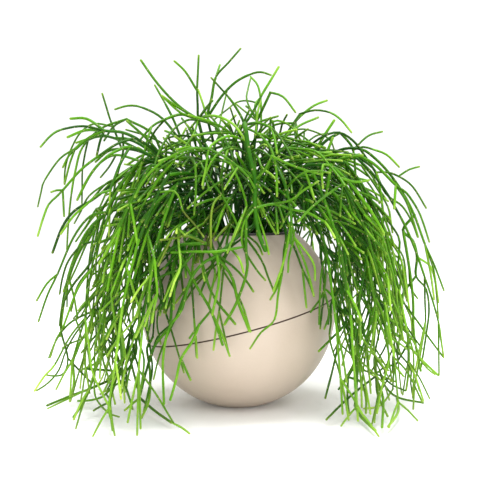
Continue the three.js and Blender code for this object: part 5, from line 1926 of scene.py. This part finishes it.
stemSkin = makeStemSkin()
stemNodes = makeStemNodes()
linesOf = []
for spray in sprays:
    toneDraw = makeRandom(stemShape["toneSeed"] + spray["owner"] * stemShape["toneSeedStep"])
    chosen = runningOn(spray["stems"])
    lines = []
    for index, stem in enumerate(spray["stems"]):
        tone = toneDraw(0, 1)
        lines.append((stemRows(spray["stems"], index, chosen, tone), tone, stem))
    linesOf.append(lines)
    countCrowd(lines)
tubeValues = {"Sides": stemShape["sides"], "Material": stemSkin}
faceCount = 0
for spray, lines in zip(sprays, linesOf):
    name = "stems_%02d" % (spray["owner"] + 1)
    tubes = growMesh(name, lineMesh(name, lines), stemNodes, tubeValues)
    piece = linkMesh(name, tubes, stemSkin)
    faceCount += len(tubes.polygons)
    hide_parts("spray_%02d" % (spray["owner"] + 1))
    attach(piece, "root")
print("stems made with", faceCount, "faces")


# Woolly tufts: one where each stem leaves its joint and, on the thick stems, one now and then
tuftSizes = {
    "size": 0.23,
    "widths": ((0.6, 0.6, 0.6), (1.25, 1.25, 1.25)),
    "overSoil": 4,
    "spacing": 17,
    "thickLevel": 2,
    "clearEnds": (3, 6),
    "sunk": 0.9,
    "placeSeed": 71639,
    "seed": 71,
    "turnSeed": 2,
}
tuftLook = {
    "shader": {"Roughness": 0.85, "Specular IOR Level": 0.3},
    "dark": (0.1, 0.1, 0.035, 1),
    "pale": (0.2, 0.21, 0.09, 1),
    "patch": 0.0006,
    "grain": 0.00012,
    "bump": 0.8,
    "relief": 0.00005,
}


def makeTuftSkin():
    look = tuftLook
    material, tree, skin, place = newMaterial("areoleWool", look["shader"])
    patches = placeGroup(tree, softMottle, place, Size=look["patch"], Detail=2.0)
    colour = addMix(tree, patches, look["dark"], look["pale"])
    finishSkin(tree, skin, look, colour, placeGroup(tree, fineGrain, place, Size=look["grain"]))
    return material


def tuftPlaces():
    draw = makeRandom(tuftSizes["placeSeed"])
    clearStart, clearEnd = tuftSizes["clearEnds"]
    places = []
    for rows, _, stem in itertools.chain(*linesOf):
        spots = []
        if stem["from"] >= 0 and rows[0][0][2] > soilTop + tuftSizes["overSoil"]:
            spots.append(1)
        if stem["level"] < tuftSizes["thickLevel"]:
            inside = range(clearStart, len(rows) - clearEnd)
            spots += [i for i in inside if draw(0, tuftSizes["spacing"]) < stemShape["step"]]
        for spot in spots:
            place, width = rows[spot][:2]
            if place[2] < soilTop and stem["level"] == 0:
                continue
            heading = unit(minus(rows[spot + 1][0], place))
            outward = leaned(heading, math.pi / 2, draw(0, wholeTurn))
            places.append(times(plus(place, times(outward, width * tuftSizes["sunk"])), mm))
    return places


def makeTuftNodes():
    tree, start, end = newNodes("woollyTufts", [("Size", "Float", 0.0004), ("Seed", "Int", 0)])
    widths = addRandom(tree, *tuftSizes["widths"], start["Seed"])
    ball = addBall(tree, start["Size"])
    placed = addCopies(tree, start["Geometry"], ball, widths, tuftSizes["turnSeed"])
    return endNodes(tree, placed, start, end)


areoleWool = makeTuftSkin()
tuftPoints = bpy.data.meshes.new("areole_tufts_points")
tuftPoints.from_pydata(tuftPlaces(), [], [])
tuftValues = {"Size": tuftSizes["size"] * mm, "Seed": tuftSizes["seed"], "Material": areoleWool}
tuftMesh = growMesh("areole_tufts", tuftPoints, makeTuftNodes(), tuftValues)
tufts = linkMesh("areole_tufts", tuftMesh, areoleWool)
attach(tufts, "root")
print("areole tufts made with", len(tuftMesh.polygons), "faces")


# Pale floor, soft light and the camera. Metres and watts.
stageLook = {
    "x": (-15, 15),
    "y": (-8, 24),
    "shader": {"Roughness": 0.8, "Specular IOR Level": 0.2},
    "colours": ((0.96, 0.96, 0.955, 1), (0.98, 0.98, 0.975, 1)),
    "patch": 0.5,
}
lightPlan = {
    "keyLight": {"place": (0.5, -1.25, 1.45), "size": 0.6, "power": 4, "aim": (0, 0, 0.2)},
    "sideLight": {"place": (1.0, -0.6, 0.2), "size": 0.5, "power": 4, "aim": (0.05, -0.08, 0.05)},
    "topLight": {"place": (0.05, -0.1, 1.7), "size": 0.7, "power": 34, "aim": (0, 0, 0.2)},
    "lowLight": {"place": (-0.5, -1.2, 0.1), "size": 0.9, "power": 3.5, "aim": (0, 0, 0.05)},
}
worldLight = {"Color": (1.0, 1.0, 1.0, 1), "Strength": 1.14}


def makeFloor():
    material, tree, skin, place = newMaterial("paleFloor", stageLook["shader"])
    patches = placeGroup(tree, softMottle, place, Size=stageLook["patch"], Detail=2.0)
    tree.links.new(addMix(tree, patches, *stageLook["colours"]), skin.inputs["Base Color"])
    (left, right), (front, back) = stageLook["x"], stageLook["y"]
    mesh = bpy.data.meshes.new("studio_floor")
    corners = [(left, front, 0), (right, front, 0), (right, back, 0), (left, back, 0)]
    mesh.from_pydata(corners, [], [(0, 1, 2, 3)])
    return linkMesh("studio_floor", mesh, material)


makeFloor()

world = bpy.data.worlds.new("studioLight")
world.use_nodes = True
for name, value in worldLight.items():
    world.node_tree.nodes["Background"].inputs[name].default_value = value
scene.world = world
for name, row in lightPlan.items():
    lamp = bpy.data.lights.new(name, "AREA")
    lamp.shape = "DISK"
    lamp.size = row["size"]
    lamp.energy = row["power"]
    light = bpy.data.objects.new(name, lamp)
    light.location = row["place"]
    light.rotation_euler = (Vector(row["aim"]) - Vector(row["place"])).to_track_quat("-Z", "Y").to_euler()
    scene.collection.objects.link(light)

cameraData = bpy.data.cameras.new("camera")
cameraData.lens = cameraPlan["lens"]
cameraData.sensor_width = cameraPlan["sensor"]
cameraData.clip_start = 0.01
camera = bpy.data.objects.new("camera", cameraData)
camera.location = cameraPlan["place"]
camera.rotation_euler = (math.radians(90 - cameraPlan["pitch"]), 0, 0)
scene.collection.objects.link(camera)
scene.camera = camera
scene.view_settings.view_transform = "Standard"
print("stage, light and camera set")
